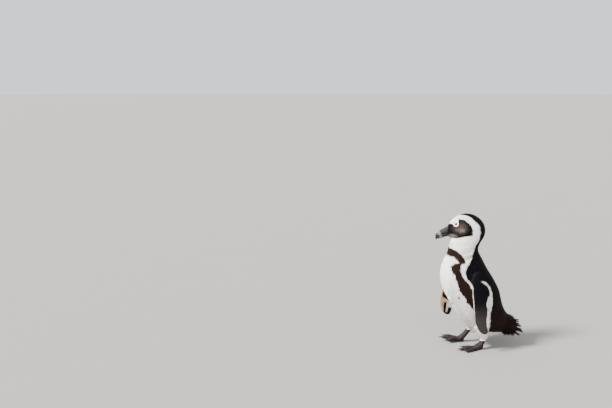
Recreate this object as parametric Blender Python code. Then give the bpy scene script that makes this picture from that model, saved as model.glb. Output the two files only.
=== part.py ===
"""African penguin, life size, in mid-step with its head drawn in: one closed solid for each body part.

The bird faces -Y with +Z up, and its left side is +X. Its feet stand on Z = 0.
Most of it is lofted from stations: cross sections that each join a point on the belly side to a point on the
back side of the bird's middle plane, with a half width across it. The tables are in the bird's own frame,
whose floor is at FLOOR.
"""

import math

import bmesh
import bpy
import numpy as np
from mathutils import Matrix, Vector

MM = 0.001
GAP = 0.35 * MM  # clear space between neighbouring solids
FLOOR = -4.5 * MM  # height of the floor in the frame that the tables use
BASE_SHIFT = Vector((15.3 * MM, -27.7 * MM, -FLOOR))  # brings the middle of the box over the origin

SIDES = 24  # points round a section of the body
SQUARENESS = 2.15  # superellipse exponent of the body's sections; 2 is an ellipse
LEFT, RIGHT = 1, -1

# Each station: belly-side point (y, z), back-side point (y, z), half width and egg, in millimetres.
# Egg is how much wider the section is on its belly side.
RUMP = {
    "tip": (160, 46, 163, 60, 12, 0.0),
    "end": (150, 40, 155, 72, 21, 0.0),
    "covert": (136, 38, 146, 87, 28, 0.0),
    "root": (119, 38, 131, 101, 33, 0.0),
}
TRUNK = {
    "root": RUMP["root"],
    "vent": (97, 43, 119, 111, 42, 0.0),
    "rump": (68, 44, 112, 123, 54, 0.0),
    "thigh": (32, 50, 106, 135, 63, 0.02),
    "groin": (-3, 63, 101, 151, 69, 0.05),
    "low_belly": (-34, 88, 96.5, 169, 74, 0.05),
    "belly": (-55, 115, 92.5, 186, 77, 0.05),
    "waist": (-71.5, 144, 87, 201, 78, 0.05),
    "keel": (-87, 173, 78, 218, 77.5, 0.05),
    "breast": (-99, 200, 69, 234, 75.5, 0.05),
    "high_breast": (-106, 226, 58.5, 250, 72, 0.03),
    "shoulder": (-107, 253, 47.5, 267, 68, 0.0),
    "collar": (-101, 280, 37, 286, 61, 0.0),
    "neck_base": (-91, 301, 28, 304, 53, 0.0),
}
NECK = {
    "neck_base": TRUNK["neck_base"],
    "neck": (-85, 319, 18.5, 321, 48, 0.0),
    "nape": (-82, 334, 16.5, 337, 45, 0.0),
    "throat": (-81, 347, 25, 355, 42.5, 0.0),
}
HEAD = {
    "throat": NECK["throat"],
    "jaw": (-79, 356, 36.5, 374, 39.5, 0.0),
    "hind_head": (-76, 361, 40, 393, 36.5, 0.0),
    "occiput": (-73, 364, 34.5, 415, 34.5, 0.02),
    "hind_crown": (-71, 365, 19, 434, 33.5, 0.04),
    "crown": (-71, 366, -3, 446.5, 32.5, 0.06),
    "top": (-72, 366.5, -26, 450, 31.5, 0.08),
    "brow": (-74, 367, -46, 446, 29.5, 0.10),
    "forehead": (-77, 368.5, -63, 437, 25.5, 0.10),
    "lores": (-80, 371, -75, 426, 20, 0.08),
    "bill_edge": (-83.5, 375, -84, 413, 14, 0.05),
    "face_end": (-85.5, 379, -86.5, 407, 9, 0.0),
}
# The two halves of the bill are widest along the line where they meet.
UPPER_BILL = {
    "hidden": (-70, 389.0, -70, 415, 10.2, 0.0),
    "base": (-81, 387.0, -82, 411.5, 9.8, 0.0),
    "nostril": (-92, 384.6, -92.5, 405.5, 8.8, 0.0),
    "middle": (-102, 381.8, -103, 400, 7.6, 0.0),
    "nail_root": (-111, 378.2, -113, 394.5, 6.7, 0.0),
    "nail": (-117, 374.6, -121, 388.5, 5.8, 0.0),
    "hook": (-120.5, 369.0, -126.7, 381.0, 4.7, 0.0),
    "hook_tip": (-122.5, 365.4, -128.4, 373.6, 3.4, 0.0),
    "point": (-124.8, 362.6, -127.3, 366.2, 1.4, 0.0),
}
LOWER_BILL = {
    "hidden": (-68, 375, -68, 388.7, 9.6, 0.0),
    "base": (-80, 374, -80, 386.5, 9.2, 0.0),
    "ramus": (-92, 372.6, -92, 383.8, 8.3, 0.0),
    "gonys": (-103, 369.2, -102.5, 380.8, 7.2, 0.0),
    "rise": (-111, 366.6, -111, 377.2, 6.3, 0.0),
    "cut_end": (-117.2, 365.6, -117.0, 372.6, 4.9, 0.0),
    "end": (-120.2, 366.2, -120.0, 369.2, 2.8, 0.0),
}
UPPER_WAIST, LOWER_WAIST = 0.14, 0.84  # where the bill's halves are widest, from belly side to back side

# The stiff feathers of the tail and the loose coverts over and under them: how many, how far they fan out
# to each side, how far they droop, their length and width, and the height of their roots.
TAIL_FEATHERS = {
    "quills": (6, 22.0, 14.0, 68, 17, 66),
    "coverts": (4, 14.0, -3.0, 55, 16, 73),
    "under": (3, 15.0, 22.0, 58, 15, 58),
}
TAIL_ROOT_Y = 118 * MM
TAIL_ROOT_SPREAD = 13 * MM  # from the middle line to the outermost root
TAIL_FEATHER_THICKNESS = 3.2 * MM

EYE_RADIUS = 6.4 * MM
EYE_CENTRE = Vector((18.3, -62.9, 416.3)) * MM  # of the left eye

# The flipper's outline, from the shoulder (0) to the tip (1) along its span: the middle of the chord, half
# the chord and half the thickness. Positive is towards the leading edge.
FLIPPER_SPAN = 200 * MM
FLIPPER_OUTLINE = {
    0.00: (3, 9, 5.0),
    0.05: (3, 19, 8.0),
    0.15: (2, 25, 8.4),
    0.28: (1, 26.5, 6.8),
    0.45: (2, 25, 5.2),
    0.62: (2, 24, 4.2),
    0.78: (0, 23.5, 3.4),
    0.90: (-3, 20, 2.7),
    0.97: (-6, 14, 2.1),
    1.00: (-8, 6.5, 1.3),
}
FLIPPER_BOW = 5 * MM  # how far the middle of the blade curves away from the body
FLIPPER_RINGS = 18
FLIPPER_SIDES = 14

# The toes run out from the ball of the foot: splay from straight ahead in degrees, length and radius.
TOES = {"inner": (-27.0, 56.0, 6.6), "middle": (0.0, 70.0, 7.4), "outer": (25.0, 62.0, 7.0)}
TOE_PADS = 3
TOE_ARCH = 20 * MM  # how far a toe that rises arches up in its middle, for a rise of 45 degrees
HEEL_RADIUS = 8.2 * MM
WEB_THICKNESS = 3.2 * MM
WEB_HEIGHT = 1.6 * MM  # of its underside over the floor
WEB_HOLLOW = 0.15  # how far its front edge curves in between the toes, as a share of their length
CLAW_LENGTH = 11.0 * MM
CLAW_RADIUS = 2.5 * MM
HALLUX_LENGTH = 14.0 * MM
HIND_CLAW_LENGTH = 6.5 * MM
HIND_CLAW_RADIUS = 1.6 * MM
SOLE_DROP = 1.0 * MM  # how deep the round pads are pressed flat


def material(name, colour, roughness):
    """A Principled material with a linear colour and a roughness."""
    made = bpy.data.materials.get(name) or bpy.data.materials.new(name)
    made.use_nodes = True
    shader = made.node_tree.nodes["Principled BSDF"]
    shader.inputs["Base Color"].default_value = (*colour, 1.0)
    shader.inputs["Roughness"].default_value = roughness
    shader.inputs["Metallic"].default_value = 0.0
    return made


def white_plumage():
    return material("white plumage", (0.80, 0.77, 0.71), 0.85)


def black_plumage():
    return material("black plumage", (0.020, 0.018, 0.018), 0.80)


def horn():
    return material("dark horn", (0.035, 0.028, 0.028), 0.45)


def foot_skin():
    return material("scaly foot skin", (0.060, 0.045, 0.045), 0.65)


def wet_eye():
    return material("brown eye", (0.020, 0.006, 0.004), 0.08)


def add_object(name, bm, finish):
    """Turns a bmesh into an object with smooth rounded faces and one material."""
    bmesh.ops.recalc_face_normals(bm, faces=bm.faces)
    mesh = bpy.data.meshes.new(name)
    bm.to_mesh(mesh)
    bm.free()
    mesh.materials.append(finish)
    mesh.shade_smooth()
    mesh.set_sharp_from_angle(angle=math.radians(50))
    made = bpy.data.objects.new(name, mesh)
    bpy.context.scene.collection.objects.link(made)
    return made


def add_cutter(name, bm):
    """A helper that shapes other solids and is left out of the bird."""
    made = add_object(name, bm, horn())
    made.hide_render = True
    made.display_type = "WIRE"
    return made


def smooth_between(rows, at):
    """The row at a fractional index of a table, on a Catmull-Rom curve through its rows."""
    last = len(rows) - 1
    i = min(int(at), last - 1)
    t = at - i
    before, here = rows[max(i - 1, 0)], rows[i]
    after, beyond = rows[i + 1], rows[min(i + 2, last)]
    return 0.5 * (
        2 * here
        + (after - before) * t
        + (2 * before - 5 * here + 4 * after - beyond) * t**2
        + (3 * here - before - 3 * after + beyond) * t**3
    )


def superellipse(angle, exponent):
    """(towards the back, across) of a point on a rounded unit section; angle 0 is the belly."""
    c, s = -math.cos(angle), math.sin(angle)
    power = 2.0 / exponent
    return math.copysign(abs(c) ** power, c), math.copysign(abs(s) ** power, s)


def section(row, sides=SIDES, exponent=SQUARENESS, waist=0.5):
    """The ring of points of one station, widest at the waist, a share of the way from belly side to back."""
    belly = Vector((0.0, row[0], row[1])) * MM
    back = Vector((0.0, row[2], row[3])) * MM
    middle = belly.lerp(back, waist)
    ring = []
    for k in range(sides):
        depth, across = superellipse(2 * math.pi * k / sides, exponent)
        width = row[4] * MM * across * (1 - row[5] * depth)
        reach = (back - middle) * depth if depth > 0 else (middle - belly) * depth
        ring.append(middle + reach + Vector((width, 0.0, 0.0)))
    return ring


def skin_rings(bm, rings):
    """Faces between successive rings of points, and a flat face over each end."""
    loops = [[bm.verts.new(point) for point in ring] for ring in rings]
    for near, far in zip(loops, loops[1:]):
        for k in range(len(near)):
            n = (k + 1) % len(near)
            bm.faces.new((near[k], near[n], far[n], far[k]))
    bm.faces.new(loops[0])
    bm.faces.new(loops[-1])


def stations_solid(name, table, finish, first_gap, last_gap, per_station=2, **shape):
    """A solid lofted through a table of stations, shortened by the gaps where it meets its neighbours."""
    rows = [np.array(row, float) for row in table.values()]
    last = len(rows) - 1
    places = np.linspace(first_gap, last - last_gap, round(per_station * last) + 1)
    bm = bmesh.new()
    skin_rings(bm, [section(smooth_between(rows, at), **shape) for at in places])
    return add_object(name, bm, finish)


def grown_copy(source):
    """A cutter with the shape of a solid, grown by the gap."""
    bm = bmesh.new()
    bm.from_mesh(source.data)
    bm.normal_update()
    for vert in bm.verts:
        vert.co += vert.normal * GAP
    return add_cutter(source.name + "_room", bm)


def boolean(target, other, operation):
    step = target.modifiers.new(operation.lower() + "_" + other.name, "BOOLEAN")
    step.operation = operation
    step.solver = "EXACT"
    step.object = other
    return step


def airfoil(outline, frame):
    """A ring round the flipper: a blunt leading edge and a thin trailing one."""
    offset, half_chord, half_thick = (value * MM for value in outline)
    ring = []
    for k in range(FLIPPER_SIDES):
        angle = 2 * math.pi * k / FLIPPER_SIDES
        along = math.cos(angle)
        thick = half_thick * math.sin(angle) * (0.72 + 0.28 * along)
        ring.append(frame @ Vector((offset + half_chord * along, thick, 0.0)))
    return ring


def flipper_frame(shoulder, side, swing, spread, twist):
    """The flipper's own axes: X to its leading edge, Y away from the body, -Z along its span to the tip."""
    turn = (
        Matrix.Rotation(math.radians(swing), 4, "X")
        @ Matrix.Rotation(math.radians(-spread * side), 4, "Y")
        @ Matrix.Rotation(math.radians(twist * side), 4, "Z")
    )
    axes = Matrix(((0, side, 0, 0), (-1, 0, 0, 0), (0, 0, 1, 0), (0, 0, 0, 1)))
    return Matrix.Translation(shoulder) @ turn @ axes


def flipper(name, side, shoulder, swing, spread, twist, bend, trunk_room):
    """A flipper, cut back to the outside of the trunk at its root; bend is how far its middle bows forwards."""
    frame = flipper_frame(Vector(shoulder) * MM, side, swing, spread, twist)
    places = list(FLIPPER_OUTLINE)
    rows = [np.array(FLIPPER_OUTLINE[place], float) for place in places]
    bm = bmesh.new()
    rings = []
    for at in np.linspace(0, len(rows) - 1, FLIPPER_RINGS):
        span = float(np.interp(at, range(len(places)), places)) * FLIPPER_SPAN
        arch = math.sin(math.pi * span / FLIPPER_SPAN)
        centre = Matrix.Translation((bend * MM * arch, FLIPPER_BOW * arch, -span))
        rings.append(airfoil(smooth_between(rows, at), frame @ centre))
    skin_rings(bm, rings)
    made = add_object(name, bm, black_plumage())
    boolean(made, trunk_room, "DIFFERENCE")
    return made


def tapered_tube(bm, points, radii, sides=12, flatten=1.0):
    """A tube through points with a radius at each, its ends closed."""
    rings = []
    for i, (point, radius) in enumerate(zip(points, radii)):
        ahead = points[min(i + 1, len(points) - 1)] - points[max(i - 1, 0)]
        across = ahead.cross(Vector((0, 0, 1)))
        across = Vector((1, 0, 0)) if across.length < 1e-9 else across.normalized()
        upward = across.cross(ahead).normalized()
        ring = []
        for k in range(sides):
            angle = 2 * math.pi * k / sides
            offset = across * math.cos(angle) + upward * math.sin(angle) * flatten
            ring.append(point + offset * radius)
        rings.append(ring)
    skin_rings(bm, rings)


def rounded_run(start, end, radius_start, radius_end, steps, pads=0, sag=0.0):
    """Points and radii of a finger-like shape with domed ends, swollen at its pads."""
    points, radii = [], []
    for i in range(steps + 1):
        t = i / steps
        place = start.lerp(end, t) + Vector((0, 0, -sag * 4 * t * (1 - t)))
        radius = radius_start + (radius_end - radius_start) * t
        if pads:
            radius *= 1 + 0.09 * math.cos(2 * math.pi * pads * t)
        tip = min(1.0, (1.0 - t) * steps / 1.6)
        radius *= math.sqrt(max(1 - (1 - tip) ** 2, 0.12))
        points.append(place)
        radii.append(radius)
    return points, radii


class Stance:
    """How one foot stands: the place of its ball, where its toes head, how they rise and how far they reach."""

    def __init__(self, side, ball, heading, rise, reach):
        self.side, self.heading = side, heading
        self.ball = Vector((ball[0] * MM, ball[1] * MM, FLOOR))
        self.climb = math.tan(math.radians(rise))
        self.reach = reach

    def flat(self, degrees):
        """A flat direction splayed outwards from straight ahead by degrees."""
        angle = math.radians(degrees * self.side + self.heading)
        return Vector((math.sin(angle), -math.cos(angle), 0.0))

    def toe(self, degrees):
        """The direction of a toe, which climbs from the ball."""
        return self.flat(degrees) + Vector((0, 0, self.climb))


def web(bm, stance):
    """The skin between the toes: a thin plate whose front edge is hollow between them."""
    rim = []
    toes = list(TOES.values())
    for (left, left_reach, _), (right, right_reach, _) in zip(toes, toes[1:]):
        for k in range(9):
            t = k / 8
            reach = (left_reach + (right_reach - left_reach) * t) * stance.reach * MM
            reach *= 0.94 - WEB_HOLLOW * math.sin(math.pi * t)
            rim.append(stance.ball + stance.toe(left + (right - left) * t) * reach)
    rim = [rim[0]] + [b for a, b in zip(rim, rim[1:]) if (b - a).length > 0.1 * MM]
    heel = stance.ball - stance.toe(0) * 4 * MM
    floor, top = Vector((0, 0, WEB_HEIGHT)), Vector((0, 0, WEB_HEIGHT + WEB_THICKNESS))
    lower = [bm.verts.new(p + floor) for p in [heel, *rim]]
    upper = [bm.verts.new(p + top) for p in [heel, *rim]]
    for k in range(len(lower)):
        n = (k + 1) % len(lower)
        bm.faces.new((lower[k], lower[n], upper[n], upper[k]))
    for sheet in (lower, upper):
        for near, far in zip(sheet[1:], sheet[2:]):
            bm.faces.new((sheet[0], near, far))


def shank(name, stance, hock):
    """The bare shank, from the instep over the toes' roots up to the hock."""
    low = stance.ball + Vector((0, 0, 9)) * MM
    instep = low + stance.toe(0) * 17 * MM
    middle = low.lerp(hock, 0.5) + Vector((0, 1, 0)) * MM
    stages = (
        (instep, 6.4),
        (low + Vector((0, -8, 3)) * MM, 9.8),
        (low + Vector((0, 0, 4)) * MM, 11.2),
        (low.lerp(middle, 0.6), 10.6),
        (middle, 9.8),
        (middle.lerp(hock, 0.6), 9.6),
        (hock, 9.8),
    )
    bm = bmesh.new()
    tapered_tube(bm, [place for place, _ in stages], [radius * MM for _, radius in stages], flatten=0.9)
    return add_object(name, bm, foot_skin())


def heel_pad(stance):
    """The long pad under the ball of the foot that takes most of the weight."""
    middle = stance.ball + Vector((0, 0, HEEL_RADIUS - SOLE_DROP))
    straight = stance.flat(0)
    front, rear = middle + straight * 12 * MM, middle - straight * 13 * MM
    bm = bmesh.new()
    tapered_tube(bm, *rounded_run(front, rear, HEEL_RADIUS, HEEL_RADIUS * 0.9, 7), sides=10)
    return bm


def foot(name, stance, hock):
    """A bare foot: shank, toes, hind toe and web made one solid, with its pads pressed flat on the floor."""
    made = shank(name, stance, hock)
    boolean(made, add_cutter(name + "_heel", heel_pad(stance)), "UNION")
    for toe, (splay, reach, radius) in TOES.items():
        bm = bmesh.new()
        start = stance.ball + Vector((0, 0, radius * MM - SOLE_DROP))
        end = start + stance.toe(splay) * reach * stance.reach * MM - Vector((0, 0, 0.9 * MM))
        radii = ((radius + 0.7) * MM, (radius - 1.0) * MM)
        bump = -TOE_ARCH * stance.climb
        tapered_tube(bm, *rounded_run(start, end, *radii, 10, pads=TOE_PADS, sag=bump), sides=8)
        boolean(made, add_cutter(f"{name}_{toe}_toe", bm), "UNION")
    bm = bmesh.new()
    web(bm, stance)
    boolean(made, add_cutter(name + "_web", bm), "UNION")
    bm = bmesh.new()
    tapered_tube(bm, *rounded_run(*hallux_run(stance), 3.6 * MM, 2.5 * MM, 8), sides=10)
    boolean(made, add_cutter(name + "_hind_toe", bm), "UNION")
    bm = bmesh.new()
    under = 20 * MM
    slab = Matrix.Translation(stance.ball - Vector((0, 0, under / 2))) @ Matrix.Diagonal((0.3, 0.3, under, 1))
    bmesh.ops.create_cube(bm, size=1.0, matrix=slab)
    boolean(made, add_cutter(name + "_floor", bm), "DIFFERENCE")
    return made


def hallux_run(stance):
    """Root and tip of the small hind toe, low on the inner side of the shank."""
    root = stance.ball + Vector((-stance.side * 5, 3, 16)) * MM
    return root, root + stance.flat(-48) * HALLUX_LENGTH - Vector((0, 0, 4 * MM))


def claw(name, root, ahead, room, length=CLAW_LENGTH, radius=CLAW_RADIUS):
    """A pointed claw, arched and drooping, cut back to the toe it grows from."""
    points, radii = [], []
    steps = 5
    for i in range(steps + 1):
        t = i / steps
        lift = 1.6 * MM * math.sin(math.pi * min(t * 1.1, 1.0)) - 1.9 * MM * t * t
        points.append(root + ahead * (length * 1.35 * t - 0.35 * length) + Vector((0, 0, lift)))
        radii.append(radius * (1 - 0.86 * t**1.5))
    bm = bmesh.new()
    tapered_tube(bm, points, radii, sides=6, flatten=1.15)
    made = add_object(name, bm, horn())
    boolean(made, room, "DIFFERENCE")
    return made


def leg(name, side, top, hock, trunk_room, foot_room):
    """The feathered shank, from the trunk down to the cuff round the bare foot."""
    top, hock = Vector(top) * MM, Vector(hock) * MM
    cuff = hock + (hock - top).normalized() * 5 * MM
    stages = [(0.0, 25), (0.25, 25), (0.5, 22.5), (0.7, 19), (0.85, 15.5), (0.95, 13), (1.0, 11)]
    bm = bmesh.new()
    tapered_tube(bm, [top.lerp(cuff, t) for t, _ in stages], [r * MM for _, r in stages], sides=20)
    made = add_object(name, bm, white_plumage())
    boolean(made, trunk_room, "DIFFERENCE")
    boolean(made, foot_room, "DIFFERENCE")
    return made


def feather(root, ahead, length, width):
    """One stiff feather: a flat blade that widens and then comes to a point."""
    rings = []
    for t, spread, thick in ((0.0, 0.4, 0.8), (0.55, 1.0, 1.0), (0.88, 0.75, 0.7), (1.0, 0.12, 0.3)):
        across = ahead.cross(Vector((0, 0, 1))).normalized()
        upward = across.cross(ahead)
        place = root + ahead * length * t
        half, lift = width / 2 * spread, TAIL_FEATHER_THICKNESS / 2 * thick
        offsets = (across * half, upward * lift, -across * half, -upward * lift)
        rings.append([place + offset for offset in offsets])
    bm = bmesh.new()
    skin_rings(bm, rings)
    return bm


def tail(trunk_room):
    """The end of the rump with its fan of stiff feathers, one solid."""
    made = stations_solid("tail", RUMP, black_plumage(), 0.0, 0.01, per_station=3)
    for layer, (count, fan, droop, length, width, height) in TAIL_FEATHERS.items():
        for k in range(count):
            across = 2 * k / (count - 1) - 1
            fanned = Matrix.Rotation(math.radians(-across * fan), 3, "Z")
            ahead = fanned @ Matrix.Rotation(math.radians(-droop), 3, "X") @ Vector((0, 1, 0))
            root = Vector((across * TAIL_ROOT_SPREAD, TAIL_ROOT_Y, height * MM))
            blade = feather(root, ahead, length * (1 - 0.13 * across**2) * MM, width * MM)
            boolean(made, add_cutter(f"tail_{layer}_{k}", blade), "UNION")
    boolean(made, trunk_room, "DIFFERENCE")
    return made


def eye(name, side):
    bm = bmesh.new()
    place = Matrix.Translation((EYE_CENTRE.x * side, EYE_CENTRE.y, EYE_CENTRE.z))
    bmesh.ops.create_uvsphere(bm, u_segments=14, v_segments=8, radius=EYE_RADIUS, matrix=place)
    return add_object(name, bm, wet_eye())


def bake_modifiers(made):
    """Applies the modifiers, so that a later cutter can copy the finished mesh."""
    graph = bpy.context.evaluated_depsgraph_get()
    mesh = bpy.data.meshes.new_from_object(made.evaluated_get(graph))
    made.modifiers.clear()
    made.data = mesh


def bill(face_room):
    """Both halves of the bill, cut back to the outside of the face."""
    halves = (("bill_upper", UPPER_BILL, UPPER_WAIST), ("bill_lower", LOWER_BILL, LOWER_WAIST))
    for name, table, waist in halves:
        shape = {"per_station": 1.5, "sides": 14, "exponent": 2.3, "waist": waist}
        boolean(stations_solid(name, table, horn(), 0.0, 0.0, **shape), face_room, "DIFFERENCE")


def limb(word, side, ball, hock, thigh, heading, rise, reach, trunk_room):
    """One foot with its claws, and the feathered leg that comes down to it."""
    stance = Stance(side, ball, heading, rise, reach)
    sole = foot("foot_" + word, stance, Vector(hock) * MM)
    bpy.context.view_layer.update()
    bake_modifiers(sole)
    foot_room = grown_copy(sole)
    leg("leg_" + word, side, thigh, hock, trunk_room, foot_room)
    for toe, (splay, length, radius) in TOES.items():
        ahead = stance.toe(splay)
        root = stance.ball + ahead * length * reach * MM + Vector((0, 0, (radius - 1.6) * MM))
        claw(f"claw_{word}_{toe}", root, ahead, foot_room)
    hind_root, hind_tip = hallux_run(stance)
    ahead = (hind_tip - hind_root).normalized()
    claw(f"claw_{word}_hind", hind_tip, ahead, foot_room, HIND_CLAW_LENGTH, HIND_CLAW_RADIUS)


def build():
    for old in list(bpy.data.objects):
        bpy.data.objects.remove(old)

    trunk = stations_solid("trunk", TRUNK, white_plumage(), 0.02, 0.0, per_station=1.5)
    trunk_room = grown_copy(trunk)
    tail(trunk_room)
    stations_solid("neck", NECK, white_plumage(), 0.02, 0.03)
    head = stations_solid("head", HEAD, white_plumage(), 0.02, 0.0)
    for ball in (eye("eye_left", LEFT), eye("eye_right", RIGHT)):
        boolean(head, grown_copy(ball), "DIFFERENCE")
    bpy.context.view_layer.update()
    bake_modifiers(head)
    bill(grown_copy(head))

    flipper("flipper_left", LEFT, (66, 8, 262), 2.0, 8.0, 4.0, 0.0, trunk_room)
    flipper("flipper_right", RIGHT, (-60, -26, 259), -11.0, 19.0, 16.0, 5.0, trunk_room)
    limb("left", LEFT, (45, 20), (41, 35, 34), (38, 24, 92), 9.0, 0.0, 1.0, trunk_room)
    limb("right", RIGHT, (-44, -23), (-41, 10, 48), (-38, 7, 95), -5.0, 8.5, 0.93, trunk_room)

    for made in bpy.data.objects:
        made.location = made.location + BASE_SHIFT


build()
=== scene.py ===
"""African penguin as a still, life-size museum model.

Makes its skin, feather coat, bill, eyes and claws, and a plain studio round it.

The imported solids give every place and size. One skin takes the place of the fleshy solids and
lies inside them by the depth of the coat. The coat is made of closed little vanes that grow from
the skin and lie along a flow that runs away from the bill. Skin and coat take their markings from
the same few outlines.

Lengths that end in _MM and all outlines are in millimetres in the bird's own frame. Its origin lies
near the floor between the feet, with x to the bird's left, y backwards and z up.
"""

import heapq
import math

import bmesh
import bpy
import numpy as np
from bpy.props import FloatProperty, FloatVectorProperty, PointerProperty
from mathutils import Matrix, Vector
from mathutils.bvhtree import BVHTree
from mathutils.kdtree import KDTree


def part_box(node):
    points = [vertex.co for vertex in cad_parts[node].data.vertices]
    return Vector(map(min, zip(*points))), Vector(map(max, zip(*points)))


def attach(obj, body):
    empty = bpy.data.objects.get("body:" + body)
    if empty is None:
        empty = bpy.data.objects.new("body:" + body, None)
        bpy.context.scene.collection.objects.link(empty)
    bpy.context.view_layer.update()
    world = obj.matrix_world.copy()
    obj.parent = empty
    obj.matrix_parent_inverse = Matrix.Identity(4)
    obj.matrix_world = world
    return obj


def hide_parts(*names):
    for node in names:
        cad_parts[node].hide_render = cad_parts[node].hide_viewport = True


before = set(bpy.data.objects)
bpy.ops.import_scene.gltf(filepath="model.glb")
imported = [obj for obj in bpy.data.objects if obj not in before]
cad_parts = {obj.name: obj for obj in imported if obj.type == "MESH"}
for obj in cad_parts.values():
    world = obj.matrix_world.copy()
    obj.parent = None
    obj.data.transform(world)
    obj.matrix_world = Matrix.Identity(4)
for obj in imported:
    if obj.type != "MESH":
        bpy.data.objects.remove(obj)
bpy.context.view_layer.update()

bl_info = {
    "name": "African Penguin Model",
    "version": (1, 0, 0),
    "blender": (4, 5, 0),
    "location": "3D View > Sidebar > Penguin",
    "description": "Dresses a life-size African penguin's solids in skin, feathers, horn and eyes",
    "category": "Object",
}

MM = 0.001
SWELL = 0.6 * MM  # the solids grow by this before they fuse, so that neighbours meet
SEED = 7
FLESH = ("head", "neck", "trunk", "leg_left", "leg_right", "flipper_left", "flipper_right")
FEET = ("foot_left", "foot_right")
CLAWS = tuple(sorted(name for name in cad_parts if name.startswith("claw_")))
SIDES = {"left": 1, "right": -1}

BREAST_REACH_MM = 107.2  # how far the breast stands ahead of the bird's own origin
CROWN_MM = 450.0  # height of the crown over that origin


def middle_of(node):
    low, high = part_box(node)
    return (low + high) / 2


HOME = Vector(
    (
        middle_of("head").x,
        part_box("trunk")[0].y + BREAST_REACH_MM * MM,
        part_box("head")[1].z - CROWN_MM * MM,
    )
)


def place(x, y, z):
    """A point given in the bird's millimetres, in the frame's metres."""
    return HOME + Vector((x, y, z)) * MM


def bird_mm(points):
    """Points of the frame, in the bird's millimetres."""
    return (np.asarray(points) - np.array(HOME)) / MM


def linear(text):
    """A linear colour from an sRGB hex value."""
    values = [int(text[i : i + 2], 16) / 255 for i in (1, 3, 5)]
    return tuple(v / 12.92 if v <= 0.04045 else ((v + 0.055) / 1.055) ** 2.4 for v in values)


def colour_property(name, description, text):
    more = {"subtype": "COLOR", "size": 3, "min": 0, "max": 1}
    return FloatVectorProperty(name=name, description=description, default=linear(text), **more)


def number_property(name, description, default, **more):
    return FloatProperty(name=name, description=description, default=default, **more)


def length_property(name, description, millimetres):
    default = millimetres * MM
    return number_property(name, description, default, min=0.0, subtype="DISTANCE", unit="LENGTH")


def angle_property(name, description, degrees):
    return number_property(name, description, math.radians(degrees), subtype="ANGLE")


# -------------------------------------------------------------------------------- settings


class PlumageSettings(bpy.types.PropertyGroup):
    body_spacing: length_property("Body spacing", "Gap between roots of body feathers", 1.5)
    body_length: length_property("Body length", "Length of a body feather's vane", 11.0)
    neck_spacing: length_property("Neck spacing", "Gap between roots of neck feathers", 1.3)
    neck_length: length_property("Neck length", "Length of a neck feather's vane", 9.5)
    head_spacing: length_property("Head spacing", "Gap between roots on crown and cheeks", 1.05)
    head_length: length_property("Head length", "Length of a vane on crown and cheeks", 5.6)
    face_spacing: length_property("Face spacing", "Gap between roots round bill and eyes", 0.92)
    face_length: length_property("Face length", "Length of a vane round bill and eyes", 3.2)
    flipper_spacing: length_property("Flipper spacing", "Gap between roots on the flippers", 1.25)
    flipper_length: length_property("Flipper length", "Length of a scale-like flipper vane", 4.2)
    rump_spacing: length_property("Rump spacing", "Gap between roots on the rump", 2.3)
    rump_length: length_property("Rump length", "Length of the loose vanes of the rump", 18.0)
    tuft_spacing: length_property("Tuft spacing", "Gap between the loose tufts over the rump", 4.6)
    tuft_length: length_property("Tuft length", "Length of the longest loose tufts", 24.0)
    ruffle: number_property("Ruffle", "How unevenly the vanes lie", 1.0, min=0.0, max=3.0)
    white: colour_property("White", "Clean white plumage of belly and brow", "#FBF9F5")
    # Buff is partly painted warm light reflected from the floor, low on the body; elsewhere it is a
    # tint of the plumage.
    buff: colour_property("Buff", "Stained white plumage", "#B58C5C")
    black: colour_property("Black", "Fresh black plumage of the back", "#070609")
    brown: colour_property("Brown", "Worn black plumage that has gone brown", "#28170F")


class SkinSettings(bpy.types.PropertyGroup):
    body_voxel: length_property("Body voxel", "Grid of the remesh that fuses the body", 2.3)
    edge_reach: length_property("Edge reach", "How far the flippers' edges go out at first", 2.2)
    foot_voxel: length_property("Foot voxel", "Grid of the remesh that fuses the feet", 0.85)
    coat_depth: length_property("Coat depth", "How deep the skin lies under the solids", 1.6)
    pink: colour_property("Bare face", "Bare pink skin over the eye", "#DDAEA4")
    foot: colour_property("Foot", "Scaly skin of the feet", "#140C0B")
    # The pale scale tops are partly wear and partly a painted highlight.
    foot_pale: colour_property("Foot scales", "Worn tops of the scales", "#412C2C")


class HornSettings(bpy.types.PropertyGroup):
    bill_voxel: length_property("Bill voxel", "Grid of the remesh of the bill's halves", 0.42)
    dark: colour_property("Dark horn", "Dark horn of bill and claws", "#110C0C")
    pale: colour_property("Pale horn", "The pale band near the bill's tip", "#716A68")
    tip: colour_property("Bill tip", "Reddish horn at the bill's tip", "#1F0D0D")


class EyeSettings(bpy.types.PropertyGroup):
    iris: colour_property("Iris", "Brown iris", "#240B08")
    opening: length_property("Lid opening", "Radius of the opening between the lids", 4.3)
    lid_width: length_property("Lid width", "Width of the bare ring round the eye", 2.6)


class StageSettings(bpy.types.PropertyGroup):
    floor: colour_property("Floor", "Plain pale floor", "#7C7975")
    lens: number_property("Lens", "Focal length", 50.0, subtype="DISTANCE_CAMERA")
    distance: number_property("Distance", "Camera to bird along the floor", 2.837, unit="LENGTH")
    height: number_property("Height", "Camera above the bird's own origin", 0.903, unit="LENGTH")
    bearing: angle_property("Bearing", "Camera's place round the bird from its front", 75)
    aside: angle_property("Aside", "How far the camera looks past the bird", 11.32)
    tilt: angle_property("Tilt", "How far it looks down", 8.63)
    radius: number_property("Floor radius", "Size of the round floor", 40.0, unit="LENGTH")
    key: number_property("Key light", "Strength of the large soft lamp", 15.0, min=0.0)
    fill: number_property("Fill light", "Strength of the very soft lamp", 3.4, min=0.0)
    sky: number_property("Room light", "Strength of the light from all round", 1.4, min=0.0)


def settings():
    return bpy.context.scene.penguin


# -------------------------------------------------------------------------------- meshes


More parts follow.
